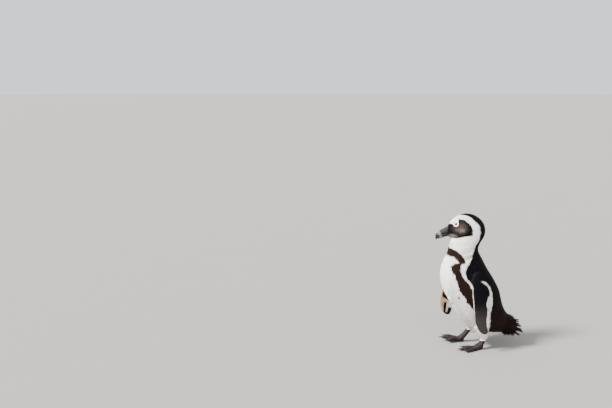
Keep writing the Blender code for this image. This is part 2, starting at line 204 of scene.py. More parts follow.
def merged_copy(node):
    """A bmesh copy of a solid with its loose triangles joined."""
    bm = bmesh.new()
    bm.from_mesh(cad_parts[node].data)
    bmesh.ops.remove_doubles(bm, verts=bm.verts, dist=0.01 * MM)
    bm.normal_update()
    return bm


def swell(bm, by):
    moves = [vert.normal * by for vert in bm.verts]
    for vert, move in zip(bm.verts, moves):
        vert.co += move


def gather(parts):
    """One bmesh from several, which it frees."""
    whole, mesh = bmesh.new(), bpy.data.meshes.new("part")
    for part in parts:
        part.to_mesh(mesh)
        part.free()
        whole.from_mesh(mesh)
    bpy.data.meshes.remove(mesh)
    return whole


def merged_copies(nodes):
    return gather([merged_copy(node) for node in nodes])


def remeshed(bm, voxel, rounds):
    """One even closed skin over everything in a bmesh, smoothed in some rounds. Frees the bmesh."""
    mesh = bpy.data.meshes.new("raw")
    bm.to_mesh(mesh)
    bm.free()
    holder = bpy.data.objects.new("raw", mesh)
    bpy.context.scene.collection.objects.link(holder)
    step = holder.modifiers.new("fuse", "REMESH")
    step.mode, step.voxel_size, step.use_smooth_shade = "VOXEL", voxel, True
    relax = holder.modifiers.new("relax", "SMOOTH")
    relax.factor, relax.iterations = 0.5, rounds
    graph = bpy.context.evaluated_depsgraph_get()
    done = bpy.data.meshes.new_from_object(holder.evaluated_get(graph))
    bpy.data.objects.remove(holder)
    bpy.data.meshes.remove(mesh)
    return done


def read_all(collection, field, width=1, kind=np.float32):
    """A field of every element of a collection, with one row for each."""
    values = np.empty(len(collection) * width, kind)
    collection.foreach_get(field, values)
    return values.reshape(-1, width) if width > 1 else values


def points_of(mesh):
    return read_all(mesh.vertices, "co", 3).astype(float)


def normals_of(mesh):
    return read_all(mesh.vertex_normals, "vector", 3).astype(float)


def edges_of(mesh):
    return read_all(mesh.edges, "vertices", 2, np.int32)


def move_points(mesh, points):
    mesh.vertices.foreach_set("co", np.asarray(points, np.float32).ravel())
    mesh.update()


def write_attribute(mesh, name, kind, values):
    layer = mesh.attributes.new(name, kind, "POINT")
    field = {"FLOAT_VECTOR": "vector", "FLOAT_COLOR": "color"}.get(kind, "value")
    number = np.int32 if kind == "INT" else np.float32
    layer.data.foreach_set(field, np.asarray(values, number).ravel())


def read_attribute(mesh, name, width=1):
    layer = mesh.attributes[name]
    kind = np.int32 if layer.data_type == "INT" else np.float32
    return read_all(layer.data, "vector" if width == 3 else "value", width, kind)


def add_piece(name, mesh, materials, replaced=()):
    """A finished piece on the body, in the given materials, in place of some solids."""
    for material in materials:
        mesh.materials.append(material)
    piece = bpy.data.objects.new(name, mesh)
    bpy.context.scene.collection.objects.link(piece)
    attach(piece, "root")
    if replaced:
        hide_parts(*replaced)


def mesh_of(bm, name):
    """A smooth mesh from a bmesh, which it frees."""
    mesh = bpy.data.meshes.new(name)
    bm.to_mesh(mesh)
    bm.free()
    mesh.shade_smooth()
    return mesh


def normalised(vectors):
    return vectors / np.maximum(np.linalg.norm(vectors, axis=-1, keepdims=True), 1e-12)


def dotted(a, b):
    return (a * b).sum(-1, keepdims=True)


def along_skin(ways, normals):
    """Directions turned down into the skin that has these normals."""
    return normalised(ways - normals * dotted(ways, normals))


def ramp(values, start, end):
    """0 before the start and 1 past the end, evenly between. The end may be the lower one."""
    return np.clip((values - start) / (end - start), 0, 1)


def bell(values, width):
    return np.exp(-((values / width) ** 2))


# -------------------------------------------------------------------------------- markings

# Outlines of the dark markings as the side view shows them: y backwards, z up.
CHEST_BAND = (
    (-110, 336), (-77, 336), (-67, 333), (-55, 324), (-44, 312), (-37, 300), (-39, 292),
    (-48, 290), (-53, 283), (-54, 270), (-52, 257), (-47, 246), (-38, 237), (-29, 227),
    (-22, 217), (-15, 207), (-6, 188), (4, 165), (12, 140), (15, 118), (13, 98), (0, 118),
    (-11, 141), (-31, 162), (-44, 186), (-58, 202), (-64, 227), (-73, 249), (-81, 263),
    (-83, 279), (-72, 290), (-60, 294), (-62, 300), (-72, 308), (-80, 311), (-110, 311),
)
# Behind each flipper's trailing edge, the lobe of BACK that reaches back to y 44 between heights
# 174 and 218 is partly painted shadow of the flipper and partly dark plumage of the armpit.
BACK = (
    (0, 348), (-7, 331), (-13, 319), (-19, 304), (-25, 292), (-35, 281), (-39, 270), (-40, 257),
    (-36, 245), (-26, 234), (-20, 223), (-14, 213), (-4, 196), (10, 182), (28, 174), (40, 183),
    (44, 195), (40, 207), (28, 218), (17, 226), (4, 231), (11, 235), (20, 236), (29, 229),
    (39, 221), (48, 208), (52, 190), (53, 160), (50, 140), (45, 127), (46, 105), (48, 86),
    (47, 62), (46, 30), (200, 10), (200, 360), (60, 360), (20, 352),
)
MASK = (
    (-98, 404), (-90, 405), (-87, 411), (-83, 415.5), (-79, 417.5), (-75, 417.5), (-72, 413.5),
    (-70.5, 410.5), (-64, 409.5), (-59, 411.5), (-57, 418), (-58, 425), (-54, 435), (-50, 433),
    (-40, 432), (-34, 429), (-29, 424), (-22, 421), (-17, 415), (-13, 407), (-9.5, 396),
    (-9.5, 389), (-11.5, 380), (-22, 378.5), (-37, 377), (-46, 374), (-55, 371.5), (-65, 369),
    (-76, 369.5), (-83, 372.5), (-98, 373.5),
)
BARE_BROW = (
    (-88, 411), (-84, 416), (-79, 418.5), (-75, 418), (-71, 413), (-64, 411), (-59.5, 413),
    (-58.5, 418), (-60, 423.5), (-65, 425), (-72, 424.5), (-80, 422.5),
)
NECK_FOLDS = (((6, 346), (-12, 330), (-34, 321), (-52, 318)), ((0, 322), (-18, 306), (-38, 300)))
HEAD_MIDDLE = (-15.0, 400.0)  # y, z that the crown's black cap is measured round
# Half width of the black cap against the angle round the head, in degrees above straight back.
CAP_ANGLES = (-100, -79, -73, -61, -43, -17, 14, 35, 58, 77, 103, 120, 130)
CAP_WIDTHS = (34.0, 33.5, 33.5, 32.5, 32.0, 29.5, 26.5, 25.5, 25.5, 24.0, 17.5, 9.0, -4.0)
CAP_FOOT_MM = 326.0  # height where the cap runs out into the black of the back
# Small dark spots on breast and belly: side, y, z and radius.
SPOTS = (
    (1, -58, 178, 3.0), (1, -34, 166, 2.6), (1, -33, 149, 2.4), (1, -83, 214, 1.5),
    (1, -70, 152, 1.7), (-1, -62, 190, 2.4), (-1, -80, 232, 1.8), (-1, -45, 158, 2.6),
    (-1, -88, 200, 1.6),
)
EYE_MM = (24.3, -63.6, 418.0)


def inside(yz, outline):
    """Signed distance of side-view points to an outline's edge, positive inside."""
    corners = np.array(outline, float)
    odd = np.zeros(len(yz), bool)
    nearest = np.full(len(yz), 1e9)
    for a, b in zip(corners, np.roll(corners, -1, 0)):
        edge, off = b - a, yz - a
        along = np.clip((off @ edge) / (edge @ edge), 0, 1)
        nearest = np.minimum(nearest, np.linalg.norm(off - along[:, None] * edge, axis=1))
        crosses = (a[1] > yz[:, 1]) != (b[1] > yz[:, 1])
        slope = (b[0] - a[0]) / (b[1] - a[1] if b[1] != a[1] else 1e-9)
        odd ^= crosses & (yz[:, 0] < slope * (yz[:, 1] - a[1]) + a[0])
    return np.where(odd, nearest, -nearest)


def soft_step(distance, blur):
    return np.clip(distance / blur + 0.5, 0, 1)


def blob(yz, y, z, wide, high, size):
    """A round soft patch in the side view, 1 in its middle and 0 past its rim."""
    return np.clip(size - np.hypot((yz[:, 0] - y) / wide, (yz[:, 1] - z) / high), 0, 1)


def wobble(points, wavelength):
    """A smooth wandering number from -1 to 1 over the surface, to make drawn edges uneven."""
    p = points * (2 * math.pi / wavelength)
    return (
        np.sin(p[:, 1] + 1.3 * np.sin(0.6 * p[:, 2]) + 0.7)
        + np.sin(0.9 * p[:, 2] + 1.1 * np.sin(0.8 * p[:, 1]) + 2.1)
        + np.sin(0.7 * p[:, 0] + 1.7 * p[:, 1] - 0.8 * p[:, 2])
    ) / 3


# Number of places along a flipper where its chord is measured, and their reach along its span.
STATIONS, STATION_REACH = 13, 0.06


class Flipper:
    """One flipper's own axes: along its span to the tip, across to the leading edge, outwards."""

    def __init__(self, word):
        points = np.array([vert.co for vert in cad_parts["flipper_" + word].data.vertices])
        self.middle = points.mean(0)
        axes = np.linalg.svd(points - self.middle, full_matrices=False)[2]
        wanted = np.array(((0, 0, -1), (0, -1, 0), (SIDES[word], 0, 0)))
        facing = [axis * math.copysign(1, axis @ want) for axis, want in zip(axes, wanted)]
        self.axes = np.array(facing)
        own = (points - self.middle) @ self.axes.T
        self.low, self.high = own.min(0), own.max(0)
        span = (own[:, 0] - self.low[0]) / (self.high[0] - self.low[0])
        self.stations = np.linspace(0, 1, STATIONS)
        near = [own[abs(span - at) < STATION_REACH, 1] for at in self.stations]
        self.trailing = np.array([values.min() for values in near])
        self.leading = np.array([values.max() for values in near])

    def place(self, points):
        """Span, chord and half the chord's length there in millimetres.

        Span is 0 at the shoulder and 1 at the tip. Chord is -1 at the trailing edge and 1 at the
        leading one.
        """
        own = (points - self.middle) @ self.axes.T
        span = (own[:, 0] - self.low[0]) / (self.high[0] - self.low[0])
        edges = (self.trailing, self.leading)
        rear, front = (np.interp(span, self.stations, edge) for edge in edges)
        return span, (2 * own[:, 1] - rear - front) / (front - rear), (front - rear) / 2 / MM


FLIPPERS = {"left": Flipper("left"), "right": Flipper("right")}


# Width of the pale trailing edge along the flipper.
TRAILING_SPANS = (0.38, 0.44, 0.48, 0.55, 0.61, 0.67, 0.74, 0.81, 0.87, 0.94, 0.98)
TRAILING_WHITE_MM = (0.0, 2.5, 5.0, 5.5, 2.6, 3.2, 7.0, 8.8, 7.6, 4.5, 0.0)


def flipper_marks(points, normals, flipper):
    """Dark, brown and buff on a flipper: black and pale-edged outside, tan and black under."""
    span, chord, half = flipper.place(points)
    under = normals @ flipper.axes[2] < -0.15
    wander = wobble(bird_mm(points), 21)
    leading = soft_step(0.9 + 0.3 * wander - (1 - chord) * half, 0.8)
    leading = leading * soft_step(0.72 - span, 0.1) * (span > 0.2)
    white = np.interp(span, TRAILING_SPANS, TRAILING_WHITE_MM) + 0.9 * wander
    trailing = soft_step(white - (1 + chord) * half, 1.4) * (white > 1.2)
    dark_out = 1 - np.maximum.reduce([leading * 0.75, trailing, 0.035 * ramp(span, 0.5, 0.8)])
    chord = chord + 0.07 * wander
    dark_in = np.maximum.reduce(
        [
            soft_step(0.80 - chord, 0.12) * soft_step(0.72 - 0.05 * chord - span, 0.03),
            soft_step(0.22 - abs(chord - 0.22), 0.10) * soft_step(span - 0.76, 0.04),
            soft_step(-0.28 - chord, 0.10) * soft_step(span - 0.85, 0.03),
            soft_step(chord - 0.86, 0.08) * soft_step(span - 0.82, 0.04),
            soft_step(span - 0.955, 0.02),
        ]
    )
    dark_in = np.maximum(dark_in, 0.10 * (chord > 0.3))
    dark = np.where(under, dark_in, dark_out)
    brown = np.where(under, 0.25, np.clip(0.05 + 0.9 * (span - 0.45), 0, 0.45) + 0.08 * wander)
    buff = np.where(under, np.clip(0.62 + 0.5 * chord + 0.1 * wander, 0.25, 1), 0.1)
    return dark, brown, buff


def face_marks(yz, mask_depth, chance):
    """Dark, brown and buff in the mask: black lores and rim, speckled brown cheek, pinkish chin."""
    cheek = blob(yz, -51, 404, 22, 20, 1.35)
    chin = blob(yz, -72, 377, 14, 8, 1.3)
    core = soft_step(mask_depth - 4.0, 3.0)
    speckle = (chance > 0.66) * blob(yz, -49, 397, 16, 9, 1.3)
    eye_spot = soft_step(3.6 - np.hypot(yz[:, 0] + 51.5, yz[:, 1] - 420), 1.5)
    pale = 0.07 * cheek * core + 0.24 * speckle
    pale = np.maximum(pale, 0.26 * chin * soft_step(mask_depth - 2.0, 2.0))
    dark = 1 - pale * (1 - eye_spot)
    brown = np.clip(0.10 + 0.95 * cheek * core + 0.9 * chin + eye_spot, 0, 1)
    return dark, brown, 0.42


def markings(points, normals, on_flipper, jitter=0.0, chance=0.5):
    """(dark, brown, buff) at points of the coat, each from 0 to 1.

    on_flipper is 1 on the left flipper and -1 on the right one. jitter, in millimetres, makes the
    edges ragged.
    """
    p = bird_mm(points)
    yz, side = p[:, 1:], np.sign(p[:, 0])
    ragged = jitter + 1.4 * wobble(p, 17) + 0.7 * wobble(p, 6)
    band = soft_step(inside(yz, CHEST_BAND) + ragged * 1.2, 1.6)
    back = soft_step(inside(yz, BACK) + ragged, 1.6)
    mask_depth = inside(yz, MASK)
    mask = soft_step(mask_depth + ragged * 0.5, 1.0)
    angle = np.degrees(np.arctan2(yz[:, 1] - HEAD_MIDDLE[1], yz[:, 0] - HEAD_MIDDLE[0]))
    cap = soft_step(np.interp(angle, CAP_ANGLES, CAP_WIDTHS) - abs(p[:, 0]) + ragged * 0.6, 1.4)
    cap *= (yz[:, 1] > CAP_FOOT_MM) & (abs(angle - 15) < 115)
    spots = np.zeros(len(p))
    for way, y, z, radius in SPOTS:
        near = np.hypot(yz[:, 0] - y, yz[:, 1] - z) + ragged * 0.4
        spots = np.maximum(spots, soft_step(radius - near, 1.0) * (side == way))
    dark = np.maximum.reduce([band, back, cap, spots])
    worn = 0.10 * wobble(p, 13) + 0.12 * wobble(p, 44)
    brown = 0.08 + worn
    brown = np.where((band > 0.5) & (back < 0.5), 0.75, brown)
    brown = np.where(spots > 0.5, 0.8, brown)
    brown = np.where(back > 0.5, np.clip(0.02 + (195 - yz[:, 1]) / 170, 0.0, 0.62) + worn, brown)
    # A buff patch on the lower neck and throat.
    neck_buff_patch = blob(yz, -34, 312, 30, 24, 1.15) * 0.42
    # Painted light: warm light reflected up from the floor, painted as a buff tint low on the body,
    # stronger towards the bottom and weaker at the very front.
    floor_bounce_tint = ramp(yz[:, 1], 200, 0) * ramp(yz[:, 0], -90, -30) * 0.26
    buff = np.clip(0.02 + neck_buff_patch + floor_bounce_tint + 0.05 * wobble(p, 26), 0, 1)
    face = (mask > 0.5) & (cap < 0.5)
    for whole, part in zip((dark, brown, buff), face_marks(yz, mask_depth, chance)):
        np.copyto(whole, part, where=face)
    for word, flipper in FLIPPERS.items():
        on = on_flipper == SIDES[word]
        if on.any():
            marks = flipper_marks(points[on], normals[on], flipper)
            ours = flipper_share(points[on], flipper)
            for whole, part in zip((dark, brown, buff), marks):
                whole[on] = whole[on] * (1 - ours) + part * ours
    return np.clip(dark, 0, 1), np.clip(brown, 0, 1), np.clip(buff, 0, 1)


def flipper_share(points, flipper):
    """0 at the shoulder, where the body's markings run on, to 1 a little way down the flipper."""
    span, chord, _ = flipper.place(points)
    return soft_step(span - 0.12 - 0.11 * np.clip(-chord, 0, 1), 0.05)


def from_eye(p):
    """Distance from the eyes as the side view shows it."""
    return np.hypot(p[:, 1] - EYE_MM[1], p[:, 2] - EYE_MM[2])


def bare_face(p):
    """1 on the bare pink skin between bill and eye, and round the eye."""
    ring = 6.4 - from_eye(p)
    bare = np.maximum(soft_step(inside(p[:, 1:], BARE_BROW), 1.5), soft_step(ring, 1.0))
    return bare * (abs(p[:, 0]) > 7.5) * (p[:, 2] > 380)


# -------------------------------------------------------------------------------- skin


def averaged(values, edges, rounds):
    """Values on a mesh's points, evened out with their neighbours."""
    counts = np.maximum(np.bincount(edges.ravel(), minlength=len(values)), 1)
    counts = counts.reshape(-1, *[1] * (values.ndim - 1))
    for _ in range(rounds):
        total = np.zeros_like(values)
        np.add.at(total, edges[:, 0], values[edges[:, 1]])
        np.add.at(total, edges[:, 1], values[edges[:, 0]])
        values = 0.5 * values + 0.5 * total / counts
    return values


FLOW_START = 14 * MM  # round the start of the flow, distances are straight and not along the skin


def distance_from(mesh, start):
    """How far each point lies from a start along the skin."""
    points, edges = points_of(mesh), edges_of(mesh)
    lengths = np.linalg.norm(points[edges[:, 0]] - points[edges[:, 1]], axis=1)
    near = [[] for _ in points]
    for (a, b), length in zip(edges.tolist(), lengths.tolist()):
        near[a].append((b, length))
        near[b].append((a, length))
    first = np.nonzero(np.linalg.norm(points - np.array(start), axis=1) < FLOW_START)[0]
    far = [math.inf] * len(points)
    queue = []
    for index in first.tolist():
        far[index] = float(np.linalg.norm(points[index] - np.array(start)))
        queue.append((far[index], index))
    heapq.heapify(queue)
    while queue:
        reach, index = heapq.heappop(queue)
        if reach > far[index]:
            continue
        for other, length in near[index]:
            if reach + length < far[other]:
                far[other] = reach + length
                heapq.heappush(queue, (far[other], other))
    return np.where(np.isfinite(far), far, 0.0)


def flow_over(mesh, start):
    """The lie of the coat at each point: away from the start, along the skin."""
    points, normals, edges = points_of(mesh), normals_of(mesh), edges_of(mesh)
    reach = averaged(distance_from(mesh, start), edges, rounds=12)
    a, b = edges[:, 0], edges[:, 1]
    way = points[b] - points[a]
    away = way * ((reach[b] - reach[a]) / (way**2).sum(1))[:, None]
    flow = np.zeros_like(points)
    np.add.at(flow, a, away)
    np.add.at(flow, b, away)
    flow = normalised(flow)
    for _ in range(4):
        flow = along_skin(averaged(flow, edges, rounds=8), normals)
    return flow


REGION_NAMES = ("head", "neck", "trunk", "leg", "flipper_left", "flipper_right", "tail", "foot")
REGIONS = {name: code for code, name in enumerate(REGION_NAMES)}
NEAR_SOLID = 6 * MM  # a solid can own points of the skin this far outside its box
STUMP = 0.42  # share of the tail's length that is flesh


def flipper_side(region):
    """1 on the left flipper, -1 on the right one and 0 elsewhere."""
    on_left, on_right = (region == REGIONS["flipper_" + word] for word in ("left", "right"))
    return np.where(on_left, 1, np.where(on_right, -1, 0))


def nearest_regions(points):
    """The region of each point: that of the solid it lies nearest to."""
    best, region = np.full(len(points), 1e9), np.full(len(points), REGIONS["trunk"])
    for node in (*FLESH, "tail", *FEET):
        low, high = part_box(node)
        close = (points > np.array(low) - NEAR_SOLID) & (points < np.array(high) + NEAR_SOLID)
        bm = merged_copy(node)
        tree = BVHTree.FromBMesh(bm)
        bm.free()
        code = REGIONS.get(node, REGIONS.get(node.split("_")[0]))
        for index in np.nonzero(close.all(1))[0]:
            gap = tree.find_nearest(Vector(points[index]))[3]
            if gap < best[index]:
                best[index], region[index] = gap, code
    return region


def rump_stump():
    """The blunt end of the rump, without the tail's stiff feathers."""
    bm = merged_copy("tail")
    low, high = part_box("tail")
    far = [vert for vert in bm.verts if vert.co.y > low.y + STUMP * (high.y - low.y)]
    bmesh.ops.delete(bm, geom=far, context="VERTS")
    bmesh.ops.delete(bm, geom=list(bm.faces), context="FACES_ONLY")
    hull = bmesh.ops.convex_hull(bm, input=bm.verts)
    within = [part for part in hull["geom_interior"] if isinstance(part, bmesh.types.BMVert)]
    bmesh.ops.delete(bm, geom=within, context="VERTS")
    bmesh.ops.recalc_face_normals(bm, faces=bm.faces)
    bm.normal_update()
    return bm


# Lines in the side view, from low to high, where the skin leaves the bill's halves.
BILL_EDGES = {
    "bill_upper": ((-93, 384), (-86.5, 413)),
    "bill_lower": ((-84, 372), (-92, 388)),
}


def bill_roots():
    """The bases of the bill's halves, which the feathered skin overlaps a little."""
    roots = []
    for node, (low, high) in BILL_EDGES.items():
        bm = merged_copy(node)
        swell(bm, 1.0 * MM)
        front = place(0, *low)
        up = place(0, *high) - front
        ahead = Vector((0, -up.z, up.y)) if up.z > 0 else Vector((0, up.z, -up.y))
        geometry = bm.verts[:] + bm.edges[:] + bm.faces[:]
        bmesh.ops.bisect_plane(bm, geom=geometry, plane_co=front, plane_no=ahead, clear_outer=True)
        bmesh.ops.holes_fill(bm, edges=bm.edges)
        roots.append(bm)
    return roots


def widen(bm, flipper):
    """Pushes a flipper's thin edges out by what the remesh rounds off them."""
    span, chord, _ = flipper.place(np.array([vert.co for vert in bm.verts]))
    reach = settings().skin.edge_reach
    across = np.sign(chord) * np.clip(abs(chord), 0, 1) ** 3 * ramp(span, 0.1, 0.35) * reach
    along = ramp(span, 0.875, 1.0) * reach
    for vert, sideways, outwards in zip(bm.verts, across, along):
        vert.co += Vector(flipper.axes[1]) * sideways + Vector(flipper.axes[0]) * outwards


# The coat's depth on other regions than the trunk, as a share of its depth there.
DEPTH_SHARES = {
    "head": 0.62, "neck": 0.85, "leg": 0.7, "tail": 1.5, "flipper_left": 0.26, "flipper_right": 0.26
}


def body_mesh():
    """The fleshy solids as one seamless skin, drawn in by the coat's depth."""
    parts = [merged_copy(node) for node in FLESH] + [rump_stump()]
    for node, part in zip(FLESH, parts):
        if node.startswith("flipper"):
            widen(part, FLIPPERS[node.split("_")[1]])
    for part in parts:
        swell(part, SWELL)
    parts += bill_roots()
    mesh = remeshed(gather(parts), settings().skin.body_voxel, rounds=6)
    points, normals = points_of(mesh), normals_of(mesh)
    p = bird_mm(points)
    region = nearest_regions(points)
    depth = np.full(len(points), settings().skin.coat_depth)
    for word, share in DEPTH_SHARES.items():
        depth[region == REGIONS[word]] *= share
    face = ramp(p[:, 1], -60, -86) * (p[:, 2] > 350)
    depth *= 1 - 0.65 * face
    depth *= 1 - 0.8 * bare_face(p)
    depth[p[:, 1] < -85.5] = -0.35 * MM
    depth = averaged(depth, edges_of(mesh), rounds=6) + SWELL
    for line in NECK_FOLDS:
        apart = abs(inside(p[:, 1:], line + line[-2:0:-1]))
        depth += 0.9 * MM * bell(apart, 4.5) * ramp(abs(p[:, 0]), 6, 26)
    move_points(mesh, points - normals * depth[:, None])
    write_attribute(mesh, "region", "INT", region)
    write_attribute(mesh, "depth", "FLOAT", depth)
    return mesh


CREASE_GAP_MM = 2.6  # between the creases across the toes


def foot_mesh():
    """Both feet at a finer grid, with creased toes."""
    mesh = remeshed(merged_copies(FEET), settings().skin.foot_voxel, rounds=3)
    points, normals = points_of(mesh), normals_of(mesh)
    top = np.clip(normals[:, 2] * 1.5, 0, 1)[:, None]
    high = ramp(points[:, 2:], 2 * MM, 4 * MM)
    turn = points[:, 1:2] / MM * 2 * math.pi / CREASE_GAP_MM
    creases = np.sin(turn + 0.8 * np.sin(points[:, 0:1] / MM)) * 0.16 * MM
    move_points(mesh, points + normals * creases * top * high)
    write_attribute(mesh, "region", "INT", np.full(len(points), REGIONS["foot"]))
    write_attribute(mesh, "depth", "FLOAT", np.zeros(len(points)))
    return mesh


def eye_axes(side):
    """An eye's middle and the direction it looks in, which is square to the side of the face."""
    word = "left" if side > 0 else "right"
    return middle_of("eye_" + word), Vector((side * 0.95, -0.12, 0.27)).normalized()


def eye_radius():
    low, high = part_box("eye_left")
    return (high.z - low.z) / 2


# Section of the lids: share of their width outwards, and height over eyeball or skin.
LID_PROFILE_MM = (
    (0.00, -0.9), (0.00, 0.25), (0.10, 0.62), (0.25, 0.80),
    (0.42, 0.66), (0.55, 0.40), (0.72, 0.34), (1.0, -0.35),
)


def lid_mesh(side, skin_tree):
    """The bare ring round one eye, from the eyeball inside to under the face outside."""
    chosen = settings().eye
    centre, ahead = eye_axes(side)
    across = ahead.cross(Vector((0, 0, 1))).normalized()
    upward = across.cross(ahead).normalized()
    ball, steps = eye_radius(), 48
    bm = bmesh.new()
    ring = bmesh.ops.create_circle(bm, segments=steps, radius=chosen.opening)["verts"]
    edges = bm.edges[:]
    for index, (share, lift) in enumerate(LID_PROFILE_MM):
        for k, vert in enumerate(ring):
            angle = 2 * math.pi * k / steps
            almond = 1 + 0.07 * math.cos(2 * angle)
            radius = chosen.opening * almond + chosen.lid_width * share
            sideways = across * math.cos(angle) * radius
            sideways += upward * math.sin(angle) * radius * (0.94 + 0.06 * share)
            on_ball = math.sqrt(max(ball**2 - sideways.length_squared, 0))
            hit = skin_tree.ray_cast(centre + sideways + ahead * 30 * MM, -ahead, 60 * MM)[0]
            on_skin = (hit - centre).dot(ahead) if hit else on_ball
            blend = min(max((share - 0.25) / 0.6, 0), 1)
            blend = blend * blend * (3 - 2 * blend)
            height = on_ball * (1 - blend) + on_skin * blend + lift * MM
            vert.co = centre + sideways + ahead * height
        if index < len(LID_PROFILE_MM) - 1:
            made = bmesh.ops.extrude_edge_only(bm, edges=edges)["geom"]
            ring = [part for part in made if isinstance(part, bmesh.types.BMVert)]
            edges = [part for part in made if isinstance(part, bmesh.types.BMEdge)]
            edges = [edge for edge in edges if all(vert in ring for vert in edge.verts)]
    bmesh.ops.recalc_face_normals(bm, faces=bm.faces)
    bm.normal_update()
    if sum(face.normal.dot(ahead) for face in bm.faces) < 0:
        bmesh.ops.reverse_faces(bm, faces=bm.faces)
    mesh = mesh_of(bm, "lid")
    count = len(mesh.vertices)
    write_attribute(mesh, "region", "INT", np.full(count, REGIONS["head"]))
    write_attribute(mesh, "depth", "FLOAT", np.zeros(count))
    return mesh


def join_meshes(name, meshes):
    """One mesh from several with the same attributes."""
    bm = bmesh.new()
    for mesh in meshes:
        bm.from_mesh(mesh)
        bpy.data.meshes.remove(mesh)
    return mesh_of(bm, name)


def skin_mesh():
    """The whole skin, with the lie of the coat and the markings written on its points."""
    body = body_mesh()
    flow = flow_over(body, place(0, -86, 394))
    write_attribute(body, "flow", "FLOAT_VECTOR", flow)
    faces = [face.vertices[:] for face in body.polygons]
    tree = BVHTree.FromPolygons(points_of(body).tolist(), faces)
    others = [foot_mesh(), lid_mesh(1, tree), lid_mesh(-1, tree)]
    for mesh in others:
        down = np.tile((0.0, 0.0, -1.0), (len(mesh.vertices), 1))
        write_attribute(mesh, "flow", "FLOAT_VECTOR", down)
    lids = sum(len(mesh.vertices) for mesh in others[1:])
    mesh = join_meshes("skin", [body, *others])
    points, normals = points_of(mesh), normals_of(mesh)
    region = read_attribute(mesh, "region")
    dark, brown, buff = markings(points, normals, flipper_side(region))
    pink = bare_face(bird_mm(points))
    pink[len(points) - lids :] = 1.0
    write_attribute(mesh, "marking", "FLOAT_COLOR", np.stack([dark, brown, buff, pink], 1))
    write_attribute(mesh, "bare", "FLOAT", np.maximum(pink, 0))
    on_foot = [int(region[face.vertices[0]] == REGIONS["foot"]) for face in mesh.polygons]
    mesh.polygons.foreach_set("material_index", on_foot)
    return mesh


# -------------------------------------------------------------------------------- coat


def vane_template(columns, rows, widths, ridge):
    """A vane with a raised middle, closed underneath: its points (across, along, up) and faces."""
    bm = bmesh.new()
    bmesh.ops.create_grid(bm, x_segments=columns, y_segments=len(rows) - 1, size=1.0)
    levels = sorted({round(vert.co.y, 5) for vert in bm.verts})
    for vert in bm.verts:
        level = levels.index(round(vert.co.y, 5))
        across = vert.co.x
        rise = ridge * widths[level] * (1 - abs(across) ** 1.5)
        vert.co = Vector((across * widths[level], rows[level], rise))
    bmesh.ops.remove_doubles(bm, verts=bm.verts, dist=1e-4)
    rim = [edge for edge in bm.edges if edge.is_boundary]
    under = bmesh.ops.contextual_create(bm, geom=rim)["faces"][0]
    bmesh.ops.recalc_face_normals(bm, faces=bm.faces)
    bm.faces.ensure_lookup_table()
    bm.verts.index_update()
    points = np.array([vert.co for vert in bm.verts])
    faces = [[vert.index for vert in face.verts] for face in bm.faces if face is not under]
    faces.append([vert.index for vert in under.verts])
    bm.free()
    return points, faces


class Growth:
    """Where vanes grow and how each one lies; arrays with one row for each vane."""

    def __init__(self, root, middle, tip, root_normal, tip_normal, width, thickness):
        self.root, self.middle, self.tip = root, middle, tip
        self.root_normal, self.tip_normal = root_normal, tip_normal
        self.width, self.thickness = width, thickness

    def pick(self, chosen):
        return Growth(*(values[chosen] for values in vars(self).values()))

    def shape(self, template):
        """Every vane's points, bent along the curve through its root, middle and tip."""
        across, along, up = template[None, :, 0:1], template[None, :, 1:2], template[None, :, 2:3]
        root, middle, tip = self.root[:, None], self.middle[:, None], self.tip[:, None]
        line = (
            root * (1 - along) * (1 - 2 * along)
            + middle * 4 * along * (1 - along)
            + tip * along * (2 * along - 1)
        )
        ahead = root * (4 * along - 3) + middle * (4 - 8 * along) + tip * (4 * along - 1)
        normal = self.root_normal[:, None] * (1 - along) + self.tip_normal[:, None] * along
        sideways = normalised(np.cross(ahead, normalised(normal)))
        normal = normalised(np.cross(sideways, ahead))
        half = self.width[:, None, None] / 2
        return line + sideways * across * half + normal * up * self.thickness[:, None, None]


PATCH = 0.003  # size of one vane on its baking map


def vanes_mesh(name, growth, template, faces, marks, patches, chance):
    """One mesh of many closed vanes, with the markings and maps for the material and for baking."""
    count, size = len(growth.root), len(template)
    points = growth.shape(template)
    corners = np.concatenate([np.array(face) for face in faces])
    totals = np.array([len(face) for face in faces])
    mesh = bpy.data.meshes.new(name)
    mesh.vertices.add(count * size)
    mesh.loops.add(count * len(corners))
    mesh.polygons.add(count * len(faces))
    mesh.vertices.foreach_set("co", points.astype(np.float32).ravel())
    loops = (corners[None] + size * np.arange(count)[:, None]).astype(np.int32)
    mesh.loops.foreach_set("vertex_index", loops.ravel())
    starts = np.concatenate([[0], np.cumsum(np.tile(totals, count))[:-1]]).astype(np.int32)
    mesh.polygons.foreach_set("loop_start", starts)
    mesh.update(calc_edges=True)
    flat = np.tile(np.array([False] * (len(faces) - 1) + [True]), count)
    mesh.attributes.new("sharp_face", "BOOLEAN", "FACE").data.foreach_set("value", flat)
    colours = np.repeat(np.stack([*marks, np.ones(count)], 1), size, 0)
    write_attribute(mesh, "marking", "FLOAT_COLOR", colours)
    # along runs from 0 at a vane's root to 1 at its tip; the feather material paints shade towards
    # the root from it.
    write_attribute(mesh, "along", "FLOAT", np.tile(template[:, 1], count))
    write_attribute(mesh, "chance", "FLOAT", np.repeat(chance, size))
    vane = template[corners][:, :2] * (0.5, 1.0) + (0.5, 0.0)
    write_map(mesh, "Vane", np.tile(vane, (count, 1)))
    patch = (vane - 0.5) * PATCH
    write_map(mesh, "OFBake", (patches[:, None] + patch[None]).reshape(-1, 2))
    return mesh


def write_map(mesh, name, values):
    layer = mesh.uv_layers.new(name=name)
    layer.uv.foreach_set("vector", values.astype(np.float32).ravel())


